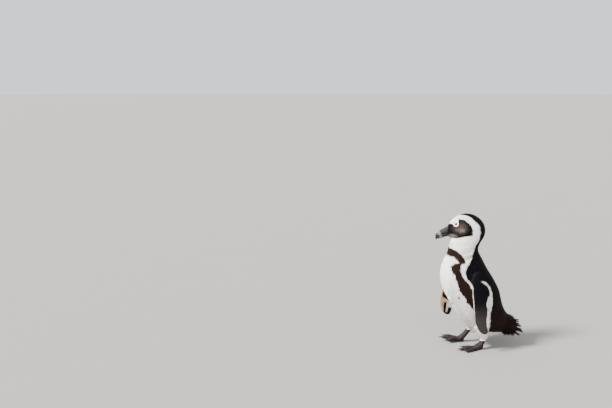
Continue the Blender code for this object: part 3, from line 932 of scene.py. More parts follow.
def unwrapped(points, line):
    """Places on a cylinder unrolled round a line from its top: turn and height, from 0 to 1."""
    top, bottom = np.array(line[0]), np.array(line[1])
    axis = normalised(bottom - top)
    own = points - top
    height = own @ axis
    front = normalised(np.array((0.0, -1.0, 0.0)) - axis * axis[1] * -1.0)
    turn = np.arctan2(own @ np.cross(axis, front), own @ front) / (2 * math.pi) + 0.5
    height = (height - height.min()) / max(height.max() - height.min(), 1e-9)
    return np.stack([0.01 + 0.98 * turn, 0.01 + 0.98 * height], 1)


TRIES = 4.2  # random places tried for each one that the spacing asks for
CLOSEST = 0.82  # least distance between two roots, as a share of the spacing


class SkinField:
    """The skin's surface with everything written on it, read at any place."""

    def __init__(self, mesh):
        mesh.calc_loop_triangles()
        self.points, self.normals = points_of(mesh), normals_of(mesh)
        self.flow = read_attribute(mesh, "flow", 3).astype(float)
        self.depth = read_attribute(mesh, "depth").astype(float)
        self.region, self.bare = read_attribute(mesh, "region"), read_attribute(mesh, "bare")
        self.triangles = read_all(mesh.loop_triangles, "vertices", 3, np.int32)
        self.tree = BVHTree.FromPolygons(self.points.tolist(), self.triangles.tolist())

    def scatter(self, spacing, rng):
        """Even random places: triangle, corner weights and point.

        spacing is given at each point of the mesh, and nothing grows where it is 0.
        """
        corner = self.points[self.triangles]
        sides = corner[:, 1] - corner[:, 0], corner[:, 2] - corner[:, 0]
        area = np.linalg.norm(np.cross(*sides), axis=1) / 2
        gap = spacing[self.triangles].mean(1)
        gap[(spacing[self.triangles] <= 0).any(1)] = 0
        expected = np.where(gap > 0, area / np.maximum(gap, 1e-9) ** 2, 0)
        tries = int(expected.sum() * TRIES)
        chosen = rng.choice(len(area), tries, p=expected / expected.sum())
        a, b = rng.random(tries), rng.random(tries)
        fold = a + b > 1
        a[fold], b[fold] = 1 - a[fold], 1 - b[fold]
        weights = np.stack([1 - a - b, a, b], 1)
        points = (corner[chosen] * weights[:, :, None]).sum(1)
        tree = KDTree(tries)
        for index, point in enumerate(points):
            tree.insert(point, index)
        tree.balance()
        free, kept = np.ones(tries, bool), []
        for index in range(tries):
            if free[index]:
                kept.append(index)
                for _, other, _ in tree.find_range(points[index], gap[chosen[index]] * CLOSEST):
                    free[other] = False
        kept = np.array(kept)
        return chosen[kept], weights[kept], points[kept]

    def sprout(self, spacing, rng):
        """Scattered roots with their triangle, corner weights, normal and flow."""
        triangle, weights, root = self.scatter(spacing, rng)
        normal = normalised(self.blend(self.normals, triangle, weights))
        flow = along_skin(self.blend(self.flow, triangle, weights), normal)
        return triangle, weights, root, normal, flow

    def blend(self, values, triangle, weights):
        picked = values[self.triangles[triangle]]
        return (picked * (weights if values.ndim == 1 else weights[:, :, None])).sum(1)

    def open_between(self, start, end):
        """Whether no skin lies between two points."""
        way = Vector(end - start)
        return self.tree.ray_cast(Vector(start), way, way.length)[0] is None

    def settle(self, points):
        """The nearest places on the skin and its normals there."""
        found = [self.tree.find_nearest(Vector(point))[:2] for point in points]
        return np.array([hit[0] for hit in found]), np.array([hit[1] for hit in found])


def coat_sizes(field):
    """Spacing and vane length at each point of the skin."""
    chosen = settings().plumage
    p = bird_mm(field.points)
    spacing = np.full(len(p), chosen.body_spacing)
    length = np.full(len(p), chosen.body_length)
    face = ramp(p[:, 1], -54, -88)
    near_eye = ramp(from_eye(p), 22, 8)
    face = np.maximum(face, near_eye)
    wide = {
        "head": (chosen.head_spacing, chosen.head_length),
        "neck": (chosen.neck_spacing, chosen.neck_length),
        "leg": (chosen.neck_spacing, chosen.neck_length * 1.1),
        "flipper_left": (chosen.flipper_spacing, chosen.flipper_length),
        "flipper_right": (chosen.flipper_spacing, chosen.flipper_length),
        "tail": (chosen.rump_spacing, chosen.rump_length),
    }
    for word, (gap, reach) in wide.items():
        at = field.region == REGIONS[word]
        spacing[at], length[at] = gap, reach
    head = field.region == REGIONS["head"]
    spacing[head] += (chosen.face_spacing - spacing[head]) * face[head]
    length[head] += (chosen.face_length - length[head]) * face[head]
    near_neck = ramp(p[:, 2], 255, 315) * (field.region == REGIONS["trunk"])
    spacing += (chosen.neck_spacing - chosen.body_spacing) * near_neck
    length += (chosen.neck_length - chosen.body_length) * near_neck
    low_rump = ramp(p[:, 1], 88, 112) * (field.region == REGIONS["trunk"])
    length += (chosen.rump_length - chosen.body_length) * low_rump
    spacing[(field.region == REGIONS["foot"]) | (field.bare > 0.5)] = 0
    return spacing, length


ROOT_DEPTH = 0.25 * MM  # how deep in the skin the roots sit
MIDDLE_LIFT = 0.62  # share of a vane's lift that its middle has
STRAY = 0.62  # farthest a trunk vane's middle may lie from its root, as a share of its length
RUMP_LIFT = 5 * MM  # how far the loosest vanes of the rump stand out


def laid(field, root, normal, flow, reach, lift, width, thickness):
    """Vanes that follow the skin along the flow from their roots, lifted at their tips."""
    middle, middle_normal = field.settle(root + flow * reach[:, None] * 0.5)
    onward = along_skin(flow, middle_normal)
    tip, tip_normal = field.settle(middle + onward * reach[:, None] * 0.5)
    middle += middle_normal * (lift * MIDDLE_LIFT)[:, None]
    tip += tip_normal * lift[:, None]
    return Growth(root - normal * ROOT_DEPTH, middle, tip, normal, tip_normal, width, thickness)


def swayed(flow, normal, degrees, rng):
    """The flow turned a little to either side on the skin."""
    turn = rng.normal(0, math.radians(degrees) * settings().plumage.ruffle, len(flow))[:, None]
    return flow * np.cos(turn) + np.cross(normal, flow) * np.sin(turn)


def grow(field, rng):
    """The whole coat's growth, with the marks and region of each vane."""
    spacing, length = coat_sizes(field)
    triangle, weights, root, normal, flow = field.sprout(spacing, rng)
    reach = field.blend(length, triangle, weights) * rng.uniform(0.84, 1.16, len(root))
    depth = field.blend(field.depth, triangle, weights) - SWELL
    region = field.region[field.triangles[triangle, 0]]
    flow = swayed(flow, normal, 6.0, rng)
    lift = np.maximum(depth, 0.3 * MM) * rng.uniform(0.93, 1.04, len(root))
    p = bird_mm(root)
    loose = ramp(p[:, 1], 112, 134) * rng.random(len(root)) ** 2.2
    lift = lift + loose * RUMP_LIFT
    thickness = np.clip(reach * 0.012, 0.04 * MM, 0.14 * MM)
    width = width_of(region, reach, rng)
    growth = laid(field, root, normal, flow, reach, lift, width, thickness)
    chance = rng.random(len(root))
    seen = growth.root * 0.3 + growth.tip * 0.7
    jitter = rng.normal(0, 0.8, len(root))
    marks = markings(seen, growth.tip_normal, flipper_side(region), jitter, chance)
    clear = (from_eye(bird_mm(growth.tip)) > 5.6) | (region != REGIONS["head"])
    clear &= [field.open_between(middle, tip) for middle, tip in zip(growth.middle, growth.tip)]
    # A body feather that has jumped over to the flipper beside it isn't kept.
    jumped = np.linalg.norm(growth.middle - growth.root, axis=1) > reach * STRAY + lift
    jumped |= dotted(normal, growth.tip_normal)[:, 0] < 0
    clear &= ~jumped | (region != REGIONS["trunk"])
    return growth.pick(clear), [mark[clear] for mark in marks], region[clear], chance[clear]


def width_of(region, reach, rng):
    share = np.full(len(region), 0.20)
    head = region == REGIONS["head"]
    share[head] = np.interp(reach[head] / MM, (3.4, 5.4), (0.34, 0.21))
    share[region == REGIONS["neck"]] = 0.17
    share[(region == REGIONS["flipper_left"]) | (region == REGIONS["flipper_right"])] = 0.36
    share[region == REGIONS["tail"]] = 0.22
    return reach * share * rng.uniform(0.86, 1.14, len(region))


TAIL_LINE = (place(0, 100, 70), place(0, 180, 50))
LAYERS_MM = (400, 262, 214, 166, 116, -1)  # heights where the trunk's coat is cut into layers


def coat_parts(growth, region):
    """The coat's pieces: name, which vanes it has, and the line its baking map unrolls round."""
    p = bird_mm(growth.root)
    trunk = region == REGIONS["trunk"]
    head = region == REGIONS["head"]
    crown = head & (p[:, 2] > 400)
    neck = region == REGIONS["neck"]
    left = p[:, 0] > 0
    head_line = (place(0, -30, 460), place(0, -30, 350))
    body_line = (place(0, -30, 340), place(0, 45, 60))
    parts = {
        "coat_crown_left": (crown & left, head_line),
        "coat_crown_right": (crown & ~left, head_line),
        "coat_cheek_left": (head & ~crown & left, head_line),
        "coat_cheek_right": (head & ~crown & ~left, head_line),
        "coat_neck": (neck, body_line),
        "coat_legs": (region == REGIONS["leg"], body_line),
        "coat_rump": (region == REGIONS["tail"], TAIL_LINE),
    }
    for word, flipper in FLIPPERS.items():
        top = flipper.middle + flipper.axes[0] * flipper.low[0]
        own = region == REGIONS["flipper_" + word]
        parts["coat_flipper_" + word] = (own, (top, flipper.middle))
    for number, (high, low) in enumerate(zip(LAYERS_MM, LAYERS_MM[1:]), 1):
        layer = trunk & (p[:, 2] <= high) & (p[:, 2] > low)
        parts[f"coat_body_{number}_left"] = (layer & left, body_line)
        parts[f"coat_body_{number}_right"] = (layer & ~left, body_line)
    return parts


VANE_ROWS = (0.0, 0.42, 0.8, 1.0)
VANE_WIDTHS = (0.5, 1.0, 0.76, 0.0)


# -------------------------------------------------------------------------------- tail

# Layers of the tail: how many quills, how far they fan out and droop in degrees, and then in
# millimetres their length, width and height of the roots.
TAIL_LAYERS = {
    "quills": (15, 22.0, 14.0, 66, 9.0, 64),
    "under": (12, 18.0, 22.0, 57, 9.0, 57),
    "coverts": (14, 18.0, 5.0, 57, 9.5, 71),
    "loose_coverts": (11, 16.0, -6.0, 47, 9.0, 78),
}
TAIL_ROOT_Y_MM, TAIL_ROOT_SPREAD_MM = 118.0, 16.0
QUILL_ROWS = (0.0, 0.15, 0.3, 0.45, 0.6, 0.72, 0.82, 0.9, 0.96, 1.0)
QUILL_WIDTHS = (0.3, 0.62, 0.86, 0.98, 1.0, 0.95, 0.83, 0.62, 0.36, 0.0)
TUFT_ROWS = (0.0, 0.3, 0.6, 0.84, 1.0)
TUFT_WIDTHS = (0.5, 1.0, 0.9, 0.5, 0.0)


def tail_growth(rng):
    """The stiff quills of the tail and the loose coverts that stand out over them."""
    rows = []
    for count, fan, droop, length, width, height in TAIL_LAYERS.values():
        for k in range(count):
            across = 2 * k / (count - 1) - 1
            yaw = math.radians(-across * fan + rng.normal(0, 2.5))
            pitch = math.radians(-droop + rng.normal(0, 2.5))
            turn = Matrix.Rotation(yaw, 3, "Z") @ Matrix.Rotation(pitch, 3, "X")
            ahead, up = turn @ Vector((0, 1, 0)), turn @ Vector((0, 0, 1))
            roll = Matrix.Rotation(across * math.radians(16), 3, ahead)
            up = roll @ up
            root = place(across * TAIL_ROOT_SPREAD_MM, TAIL_ROOT_Y_MM, height + rng.normal(0, 0.8))
            reach = length * MM * (1 - 0.13 * across**2) * rng.uniform(0.93, 1.03)
            middle = root + ahead * reach / 2 + up * MM
            tip = root + ahead * reach + up * -1.5 * MM
            rows.append((root, middle, tip, up, up, width * MM, 0.9 * MM))
    return Growth(*(np.array(column) for column in zip(*rows)))


def tuft_growth(field, rng):
    """Long loose feathers that stand out in points from the rump and from under the tail."""
    chosen, p = settings().plumage, bird_mm(field.points)
    back = np.isin(field.region, [REGIONS["trunk"], REGIONS["tail"]])
    back &= (p[:, 1] > 102) & (p[:, 2] < 106)
    gap = chosen.tuft_spacing * 1.0
    _, _, root, normal, flow = field.sprout(np.where(back, gap, 0.0), rng)
    flow = swayed(flow, normal, 12.0, rng)
    q, stray = bird_mm(root), rng.random(len(root))
    over = ramp(q[:, 2], 70, 95) * stray
    outwards = normal * (0.05 + 0.28 * stray)[:, None]
    ahead = normalised(flow + outwards + np.array((0.0, 0.55, 0.12)) * over[:, None])
    reach = chosen.tuft_length * (0.62 + 0.5 * stray) * rng.uniform(0.85, 1.1, len(root))
    middle = root + normalised(ahead + flow * 0.4) * (reach * 0.5)[:, None] + normal * 0.8 * MM
    tip = root + ahead * reach[:, None]
    width = rng.uniform(2.4, 4.2, len(root)) * MM
    thickness = np.full(len(root), 0.4 * MM)
    return Growth(root - normal * MM, middle, tip, normal, normal, width, thickness)


# -------------------------------------------------------------------------------- horn and eyes


# Where the bill's halves meet: y, and the height there.
GAPE = (
    (-120.0, -117.0, -111.0, -102.5, -92.0, -80.0),
    (370.5, 373.5, 377.8, 381.3, 384.2, 386.8),
)
CLAW_VOXEL = 0.33 * MM


def bill_mesh(node, upper):
    """One half of the bill at a fine grid, with its grooves, its nail and growth rings."""
    mesh = remeshed(merged_copies([node]), settings().horn.bill_voxel, rounds=2)
    points, normals = points_of(mesh), normals_of(mesh)
    p = bird_mm(points)
    across = np.abs(normals[:, 0])
    push = np.zeros(len(p))
    if upper:
        line = 400.5 + (p[:, 1] + 84) * 0.34
        along = ramp(p[:, 1], -84, -90) * ramp(p[:, 1], -113, -107)
        push -= 0.55 * bell(p[:, 2] - line, 1.5) * along * across
        off = p[:, 1] + 92.5
        nostril = np.hypot(off / 3.6, (p[:, 2] - (397.2 + off * 0.4)) / 0.95)
        push -= 1.3 * np.exp(-(nostril**2) * 1.2) * across
        nail = soft_step(-111.5 - p[:, 1] - (p[:, 2] - 388) * 0.5, 1.2)
        push += 0.28 * nail
    else:
        line = 379.5 + (p[:, 1] + 84) * 0.12
        push -= 0.35 * bell(p[:, 2] - line, 1.3) * across * ramp(p[:, 1], -110, -104)
    seam = ramp(abs(normals[:, 2]), 0.5, 1.0) * ramp(p[:, 1], -82, -86)
    facing = (normals[:, 2] < 0) if upper else (normals[:, 2] > 0)
    seam *= facing & (abs(p[:, 2] - np.interp(p[:, 1], *GAPE)) < 3.0)
    push += 0.42 * seam
    rings = np.sin((p[:, 1] * 0.88 - p[:, 2] * 0.47) * 2 * math.pi / 1.9 + 0.7 * wobble(p, 9))
    push += 0.014 * rings
    move_points(mesh, points + normals * push[:, None] * MM)
    return mesh


def claws_mesh():
    """All the claws, rounded off and faintly grooved."""
    mesh = remeshed(merged_copies(CLAWS), CLAW_VOXEL, rounds=4)
    points, normals = points_of(mesh), normals_of(mesh)
    grooves = np.sin(bird_mm(points)[:, 0] * 2 * math.pi / 0.9) * 0.02 * MM
    move_points(mesh, points + normals * grooves[:, None])
    return mesh


def eyeball_mesh(side):
    """An eyeball whose clear front stands a little proud of the ball."""
    centre, ahead = eye_axes(side)
    bm = bmesh.new()
    bmesh.ops.create_uvsphere(bm, u_segments=48, v_segments=32, radius=eye_radius())
    for vert in bm.verts:
        front = vert.co.normalized().z
        vert.co *= 1 + 0.045 * max((front - 0.72) / 0.28, 0) ** 1.3
    turn = ahead.to_track_quat("Z", "Y").to_matrix().to_4x4()
    bmesh.ops.transform(bm, matrix=Matrix.Translation(centre) @ turn, verts=bm.verts)
    mesh = mesh_of(bm, "eyeball")
    gaze = (points_of(mesh) - np.array(centre)) @ np.array(ahead) / eye_radius()
    write_attribute(mesh, "gaze", "FLOAT", gaze)
    return mesh


# -------------------------------------------------------------------------------- materials


# What add_node needs for a mix of colours: from socket 6 to socket 7 by socket 0.
MIX = {"data_type": "RGBA", "output": 2}
BILL_SLOPE = math.radians(28)


def connect(tree, node, sockets):
    """Sets a node's inputs: linked where the value is another node's output."""
    for key, source in sockets.items():
        if hasattr(source, "is_output"):
            tree.links.new(source, node.inputs[key])
        else:
            node.inputs[key].default_value = source


def add_node(tree, kind, sockets, output=0, **values):
    """Adds a shader node with its settings and inputs, and gives one of its outputs."""
    node = tree.nodes.new("ShaderNode" + kind)
    for key, value in values.items():
        setattr(node, key, value)
    connect(tree, node, sockets)
    return node.outputs[output]


def new_material(name):
    made = bpy.data.materials.new(name)
    made.use_nodes = True
    return made, made.node_tree


def surface(tree, sockets, relief=None):
    """Sets the Principled shader. relief is a bump's strength, height in millimetres and source."""
    if relief:
        strength, distance, height = relief
        values = {"Strength": strength, "Distance": distance * MM, "Height": height}
        sockets = sockets | {"Normal": add_node(tree, "Bump", values)}
    connect(tree, tree.nodes["Principled BSDF"], sockets)


def rgba(colour, shares=1.0):
    """A colour with alpha, scaled as a whole or by channel."""
    return (*(min(value, 1.0) for value in np.multiply(colour[:3], shares).tolist()), 1.0)


def plumage_colour(tree):
    """The coat's colour from the markings: white or buff-tinted white, under black or brown. Some
    of the buff is painted warm light reflected from the floor.
    """
    chosen = settings().plumage
    marks = add_node(tree, "Attribute", {}, "Color", attribute_name="marking")
    marks = add_node(tree, "SeparateColor", {"Color": marks}).node.outputs
    pales = {6: rgba(chosen.white), 7: rgba(chosen.buff)}
    darks = {6: rgba(chosen.black), 7: rgba(chosen.brown)}
    pale = add_node(tree, "Mix", {0: marks["Blue"], **pales}, **MIX)
    dark = add_node(tree, "Mix", {0: marks["Green"], **darks}, **MIX)
    return add_node(tree, "Mix", {0: marks["Red"], 6: pale, 7: dark}, **MIX)


def feather_material():
    """Penguin contour feathers: short stiff vanes, dense and only slightly oily, so matte."""
    made, tree = new_material("short oily contour feathers")
    chance = add_node(tree, "Attribute", {}, "Fac", attribute_name="chance")
    along = add_node(tree, "Attribute", {}, "Fac", attribute_name="along")
    vary = add_node(tree, "MapRange", {"Value": chance, "To Min": 0.93, "To Max": 1.05})
    # Painted shade: each vane is darker towards its root, where the vanes lying over it shade it.
    shade = add_node(tree, "MapRange", {"Value": along, "To Min": 0.90, "To Max": 1.0})
    both = add_node(tree, "Math", {0: vary, 1: shade}, operation="MULTIPLY")
    tone_and_root_shade = add_node(tree, "CombineColor", {"Red": both, "Green": both, "Blue": both})
    both = {0: 1.0, 6: plumage_colour(tree), 7: tone_and_root_shade}
    colour = add_node(tree, "Mix", both, blend_type="MULTIPLY", **MIX)
    # Barbs slant from the shaft towards the tip, about 24 to a vane's length.
    vane = add_node(tree, "UVMap", {}, uv_map="Vane")
    vane = add_node(tree, "SeparateXYZ", {"Vector": vane}).node.outputs
    barb = add_node(tree, "Math", {0: vane["X"], 1: 0.5}, operation="SUBTRACT")
    barb = add_node(tree, "Math", {0: barb}, operation="ABSOLUTE")
    barb = add_node(tree, "Math", {0: vane["Y"], 1: barb}, operation="SUBTRACT")
    barb = add_node(tree, "Math", {0: barb, 1: 150.0}, operation="MULTIPLY")
    barb = add_node(tree, "Math", {0: barb}, operation="SINE")
    sockets = {"Base Color": colour, "Roughness": 0.66, "Specular IOR Level": 0.07}
    surface(tree, sockets, (0.5, 0.08, barb))
    return made


def skin_material():
    """Thin bird skin: marked like the coat under it, and bare, pink and finely pored at the eye."""
    made, tree = new_material("thin pored bird skin")
    pink = settings().skin.pink
    bare = add_node(tree, "Attribute", {}, "Fac", attribute_name="bare")
    place_of = add_node(tree, "TexCoord", {}, "Object")
    blotch = add_node(tree, "TexNoise", {"Vector": place_of, "Scale": 330.0, "Detail": 6.0})
    blotch = add_node(tree, "MapRange", {"Value": blotch, "From Min": 0.36, "From Max": 0.66})
    pinks = {6: rgba(pink), 7: rgba(pink, (0.62, 0.42, 0.42))}
    blotched = add_node(tree, "Mix", {0: blotch, **pinks}, **MIX)
    colour = add_node(tree, "Mix", {0: bare, 6: plumage_colour(tree), 7: blotched}, **MIX)
    # Pores and wrinkles about 0.8 mm apart.
    pores = add_node(tree, "TexVoronoi", {"Vector": place_of, "Scale": 1300.0})
    sockets = {"Base Color": colour, "Roughness": 0.6, "Specular IOR Level": 0.15}
    sockets |= {"Subsurface Weight": 0.06, "Subsurface Scale": 1.0 * MM}
    surface(tree, sockets, (0.8, 0.35, pores))
    return made


def foot_material():
    """Webbed foot skin: rounded scales about 1.4 mm across, painted shade between, tops paler from
    wear and painted highlight.
    """
    made, tree = new_material("scaly webbed foot skin")
    chosen = settings().skin
    place_of = add_node(tree, "TexCoord", {}, "Object")
    scales = {"Vector": place_of, "Scale": 720.0}
    edge = add_node(tree, "TexVoronoi", scales, feature="DISTANCE_TO_EDGE")
    edge = add_node(tree, "MapRange", {"Value": edge, "From Max": 0.16})
    # Paler patches on the middles of the scales: partly wear, partly painted highlight.
    worn = add_node(tree, "TexNoise", {"Vector": place_of, "Scale": 90.0, "Detail": 5.0})
    worn = add_node(tree, "MapRange", {"Value": worn, "From Min": 0.42, "From Max": 0.72})
    worn = add_node(tree, "Math", {0: worn, 1: edge}, operation="MULTIPLY")
    tops = {6: rgba(chosen.foot), 7: rgba(chosen.foot_pale)}
    colour = add_node(tree, "Mix", {0: worn, **tops}, **MIX)
    # Painted shade: the grooves between the scales are darker.
    colour = add_node(tree, "Mix", {0: edge, 6: rgba(chosen.foot, 0.4), 7: colour}, **MIX)
    sockets = {"Base Color": colour, "Roughness": 0.55, "Specular IOR Level": 0.2}
    surface(tree, sockets, (0.8, 0.3, edge))
    return made


def horn_material(name, banded):
    """Keratin horn, grown in thin sheets: satin, streaked lengthwise, pale near the bill's tip."""
    made, tree = new_material(name)
    chosen = settings().horn
    place_of = add_node(tree, "TexCoord", {}, "Object")
    # Streaks and band follow the slope of the bill.
    stretch = {"Vector": place_of, "Rotation": (BILL_SLOPE, 0, 0), "Scale": (1.0, 0.25, 1.0)}
    turned = add_node(tree, "Mapping", stretch, vector_type="TEXTURE")
    streaks = add_node(tree, "TexNoise", {"Vector": turned, "Scale": 700.0, "Detail": 5.0})
    shades = {6: rgba(chosen.dark, 0.55), 7: rgba(chosen.dark, 2.0)}
    colour = add_node(tree, "Mix", {0: streaks, **shades}, **MIX)
    if banded:
        tip, back = tuple(place(0, -127, 367)), (0.0, math.cos(BILL_SLOPE), math.sin(BILL_SLOPE))
        reach = add_node(tree, "VectorMath", {0: place_of, 1: tip}, operation="SUBTRACT")
        reach = add_node(tree, "VectorMath", {0: reach, 1: back}, "Value", operation="DOT_PRODUCT")
        sway = add_node(tree, "TexNoise", {"Vector": place_of, "Scale": 190.0, "Detail": 3.0})
        sway = add_node(tree, "MapRange", {"Value": sway, "To Min": -5 * MM, "To Max": 5 * MM})
        reach = add_node(tree, "Math", {0: reach, 1: sway}, operation="ADD")
        band = add_node(tree, "Math", {0: reach, 1: 17.5 * MM}, operation="SUBTRACT")
        band = add_node(tree, "Math", {0: band}, operation="ABSOLUTE")
        fade = {"From Min": 3.0 * MM, "From Max": 6.5 * MM, "To Min": 0.8, "To Max": 0.0}
        band = add_node(tree, "MapRange", {"Value": band, **fade})
        shades = {6: rgba(chosen.pale, 0.7), 7: rgba(chosen.pale)}
        pale = add_node(tree, "Mix", {0: streaks, **shades}, **MIX)
        colour = add_node(tree, "Mix", {0: band, 6: colour, 7: pale}, **MIX)
        fade = {"From Min": 8 * MM, "From Max": 13 * MM, "To Min": 0.75, "To Max": 0.0}
        end = add_node(tree, "MapRange", {"Value": reach, **fade})
        colour = add_node(tree, "Mix", {0: end, 6: colour, 7: rgba(chosen.tip)}, **MIX)
    sockets = {"Base Color": colour, "Roughness": 0.38, "IOR": 1.54, "Specular IOR Level": 0.28}
    surface(tree, sockets, (0.35, 0.12, streaks))
    return made


def eye_material():
    """A live wet eye: black pupil and brown iris with a dark rim, under a clear wet front."""
    made, tree = new_material("wet brown eye")
    iris = settings().eye.iris
    gaze = add_node(tree, "Attribute", {}, "Fac", attribute_name="gaze")
    colour = add_node(tree, "ValToRGB", {"Fac": gaze})
    stops = colour.node.color_ramp.elements
    stops[0].position, stops[0].color = 0.0, rgba((0.01, 0.006, 0.005))
    stops[1].position, stops[1].color = 1.0, rgba((0.002, 0.002, 0.002))
    for position, share in ((0.60, 0.10), (0.66, 0.75), (0.80, 1.0), (0.895, 0.8), (0.91, 0.02)):
        stops.new(position).color = rgba(iris, share)
    wet = {"Coat Weight": 0.4, "Coat Roughness": 0.03, "Coat IOR": 1.376}
    surface(tree, {"Base Color": colour, "Roughness": 0.2, "Specular IOR Level": 0.05, **wet})
    return made


def floor_material():
    """Matt painted studio floor: pale, with the faint mottle of a rolled coat of paint."""
    made, tree = new_material("matt painted floor")
    floor = settings().stage.floor
    place_of = add_node(tree, "TexCoord", {}, "Object")
    mottle = add_node(tree, "TexNoise", {"Vector": place_of, "Scale": 3.0, "Detail": 3.0})
    colour = add_node(tree, "Mix", {0: mottle, 6: rgba(floor, 0.97), 7: rgba(floor)}, **MIX)
    surface(tree, {"Base Color": colour, "Roughness": 0.85})
    return made


# -------------------------------------------------------------------------------- operators


class PENGUIN_OT_skin(bpy.types.Operator):
    """Fuses the fleshy solids into one skin with webbed feet and eyelids"""

    bl_idname = "penguin.make_skin"
    bl_label = "Make skin"

    def execute(self, context):
        nodes = (*FLESH, "tail", *FEET)
        add_piece("skin", skin_mesh(), [skin_material(), foot_material()], nodes)
        return {"FINISHED"}


class PENGUIN_OT_coat(bpy.types.Operator):
    """Grows the short overlapping feathers over the skin"""

    bl_idname = "penguin.grow_coat"
    bl_label = "Grow coat"

    def execute(self, context):
        rng = np.random.default_rng(SEED)
        growth, marks, region, chance = grow(SkinField(bpy.data.objects["skin"].data), rng)
        template, faces = vane_template(2, VANE_ROWS, VANE_WIDTHS, 1.0)
        material = feather_material()
        for name, (chosen, line) in coat_parts(growth, region).items():
            if not chosen.any():
                raise RuntimeError(f"no vanes grew on {name}")
            part, part_marks = growth.pick(chosen), [mark[chosen] for mark in marks]
            patches = unwrapped(part.root, line)
            mesh = vanes_mesh(name, part, template, faces, part_marks, patches, chance[chosen])
            add_piece(name, mesh, [material])
        return {"FINISHED"}


class PENGUIN_OT_tail(bpy.types.Operator):
    """Sets the tail's stiff quills and the coverts that stand out over them"""

    bl_idname = "penguin.set_tail"
    bl_label = "Set tail quills"

    def execute(self, context):
        material = bpy.data.materials["short oily contour feathers"]
        rng = np.random.default_rng(SEED + 1)
        field = SkinField(bpy.data.objects["skin"].data)
        quills = tail_growth(rng), vane_template(4, QUILL_ROWS, QUILL_WIDTHS, 1.0)
        tufts = tuft_growth(field, rng), vane_template(2, TUFT_ROWS, TUFT_WIDTHS, 1.0)
        pieces = {"tail_quills": quills, "coat_tail_tufts": tufts}
        for name, (growth, (template, faces)) in pieces.items():
            count = len(growth.root)
            marks = (np.ones(count), rng.uniform(0.05, 0.4, count), np.zeros(count))
            patches = unwrapped((growth.root + growth.tip) / 2, TAIL_LINE)
            mesh = vanes_mesh(name, growth, template, faces, marks, patches, rng.random(count))
            add_piece(name, mesh, [material])
        return {"FINISHED"}


class PENGUIN_OT_bill(bpy.types.Operator):
    """Shapes both halves of the bill with grooves, nostrils and nail"""

    bl_idname = "penguin.shape_bill"
    bl_label = "Shape bill"

    def execute(self, context):
        material = horn_material("banded keratin bill", True)
        for node, upper in (("bill_upper", True), ("bill_lower", False)):
            add_piece(node + "_horn", bill_mesh(node, upper), [material], [node])
        return {"FINISHED"}


class PENGUIN_OT_eyes(bpy.types.Operator):
    """Sets wet eyes between the lids"""

    bl_idname = "penguin.set_eyes"
    bl_label = "Set eyes"

    def execute(self, context):
        material = eye_material()
        for word, side in SIDES.items():
            add_piece("eyeball_" + word, eyeball_mesh(side), [material], ["eye_" + word])
        return {"FINISHED"}


class PENGUIN_OT_claws(bpy.types.Operator):
    """Rounds off and grooves the claws"""

    bl_idname = "penguin.shape_claws"
    bl_label = "Shape claws"

    def execute(self, context):
        material = horn_material("worn keratin claws", False)
        add_piece("claws", claws_mesh(), [material], CLAWS)
        return {"FINISHED"}


class PENGUIN_OT_stage(bpy.types.Operator):
    """Lays the floor, hangs the lights and sets the camera"""

    bl_idname = "penguin.set_stage"
    bl_label = "Set stage"

    def execute(self, context):
        chosen = settings().stage
        bm = bmesh.new()
        bmesh.ops.create_circle(bm, cap_ends=True, segments=96, radius=chosen.radius)
        mesh = mesh_of(bm, "floor")
        mesh.materials.append(floor_material())
        floor = bpy.data.objects.new("floor", mesh)
        context.scene.collection.objects.link(floor)
        world = bpy.data.worlds.new("studio")
        world.use_nodes = True
        world.node_tree.nodes["Background"].inputs["Color"].default_value = rgba(linear("#EDF1F6"))
        world.node_tree.nodes["Background"].inputs["Strength"].default_value = chosen.sky
        context.scene.world = world
        set_lamp(context, "key", chosen.key, 14, (-0.34, 0.92, -1.0))
        set_lamp(context, "fill", chosen.fill, 70, (-1.0, 0.25, -0.45))
        set_camera(context, chosen)
        return {"FINISHED"}


def set_lamp(context, name, strength, degrees, way):
    """A distant lamp as wide in the sky as the degrees say, shining along a direction."""
    light = bpy.data.lights.new(name, "SUN")
    light.energy, light.angle = strength, math.radians(degrees)
    lamp = bpy.data.objects.new(name, light)
    context.scene.collection.objects.link(lamp)
    lamp.rotation_euler = Vector(way).to_track_quat("-Z", "Y").to_euler()


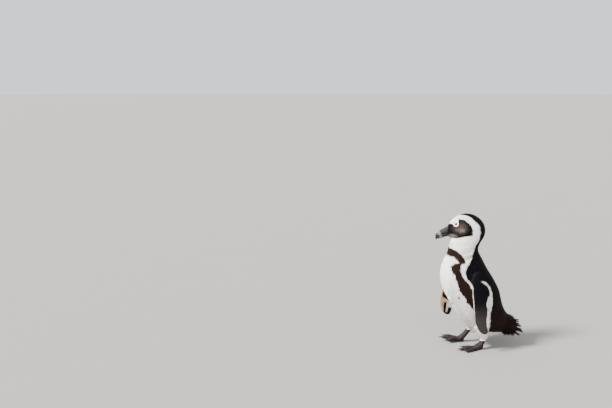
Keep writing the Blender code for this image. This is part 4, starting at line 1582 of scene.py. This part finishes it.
def set_camera(context, chosen):
    """A camera beside the bird that looks a little past it."""
    lens = bpy.data.cameras.new("camera")
    lens.lens, lens.sensor_width = chosen.lens, 36.0
    lens.clip_start, lens.clip_end = 0.05, 200.0
    camera = bpy.data.objects.new("camera", lens)
    context.scene.collection.objects.link(camera)
    outwards = Vector((math.sin(chosen.bearing), -math.cos(chosen.bearing), 0))
    camera.location = HOME + outwards * chosen.distance + Vector((0, 0, chosen.height))
    ahead = Matrix.Rotation(chosen.aside, 3, "Z") @ -outwards
    ahead = ahead * math.cos(chosen.tilt) - Vector((0, 0, math.sin(chosen.tilt)))
    camera.rotation_euler = ahead.to_track_quat("-Z", "Y").to_euler()
    context.scene.camera = camera


class PenguinSettings(bpy.types.PropertyGroup):
    plumage: PointerProperty(type=PlumageSettings)
    skin: PointerProperty(type=SkinSettings)
    horn: PointerProperty(type=HornSettings)
    eye: PointerProperty(type=EyeSettings)
    stage: PointerProperty(type=StageSettings)


STEPS = (
    PENGUIN_OT_stage, PENGUIN_OT_skin, PENGUIN_OT_coat, PENGUIN_OT_tail,
    PENGUIN_OT_bill, PENGUIN_OT_eyes, PENGUIN_OT_claws,
)


class PENGUIN_PT_panel(bpy.types.Panel):
    bl_idname = "PENGUIN_PT_panel"
    bl_label = "African penguin"
    bl_space_type = "VIEW_3D"
    bl_region_type = "UI"
    bl_category = "Penguin"

    def draw(self, context):
        for step in STEPS:
            self.layout.operator(step.bl_idname)
        for group in ("plumage", "skin", "horn", "eye", "stage"):
            box = self.layout.box()
            box.label(text=group.capitalize())
            values = getattr(context.scene.penguin, group)
            for name in values.__annotations__:
                box.prop(values, name)


CLASSES = (
    PlumageSettings, SkinSettings, HornSettings, EyeSettings, StageSettings, PenguinSettings,
    *STEPS, PENGUIN_PT_panel,
)


def register():
    for cls in CLASSES:
        bpy.utils.register_class(cls)
    bpy.types.Scene.penguin = PointerProperty(type=PenguinSettings)


def unregister():
    del bpy.types.Scene.penguin
    for cls in reversed(CLASSES):
        bpy.utils.unregister_class(cls)


def main():
    register()
    for step in STEPS:
        group, call = step.bl_idname.split(".")
        getattr(getattr(bpy.ops, group), call)()


if __name__ == "__main__":
    main()
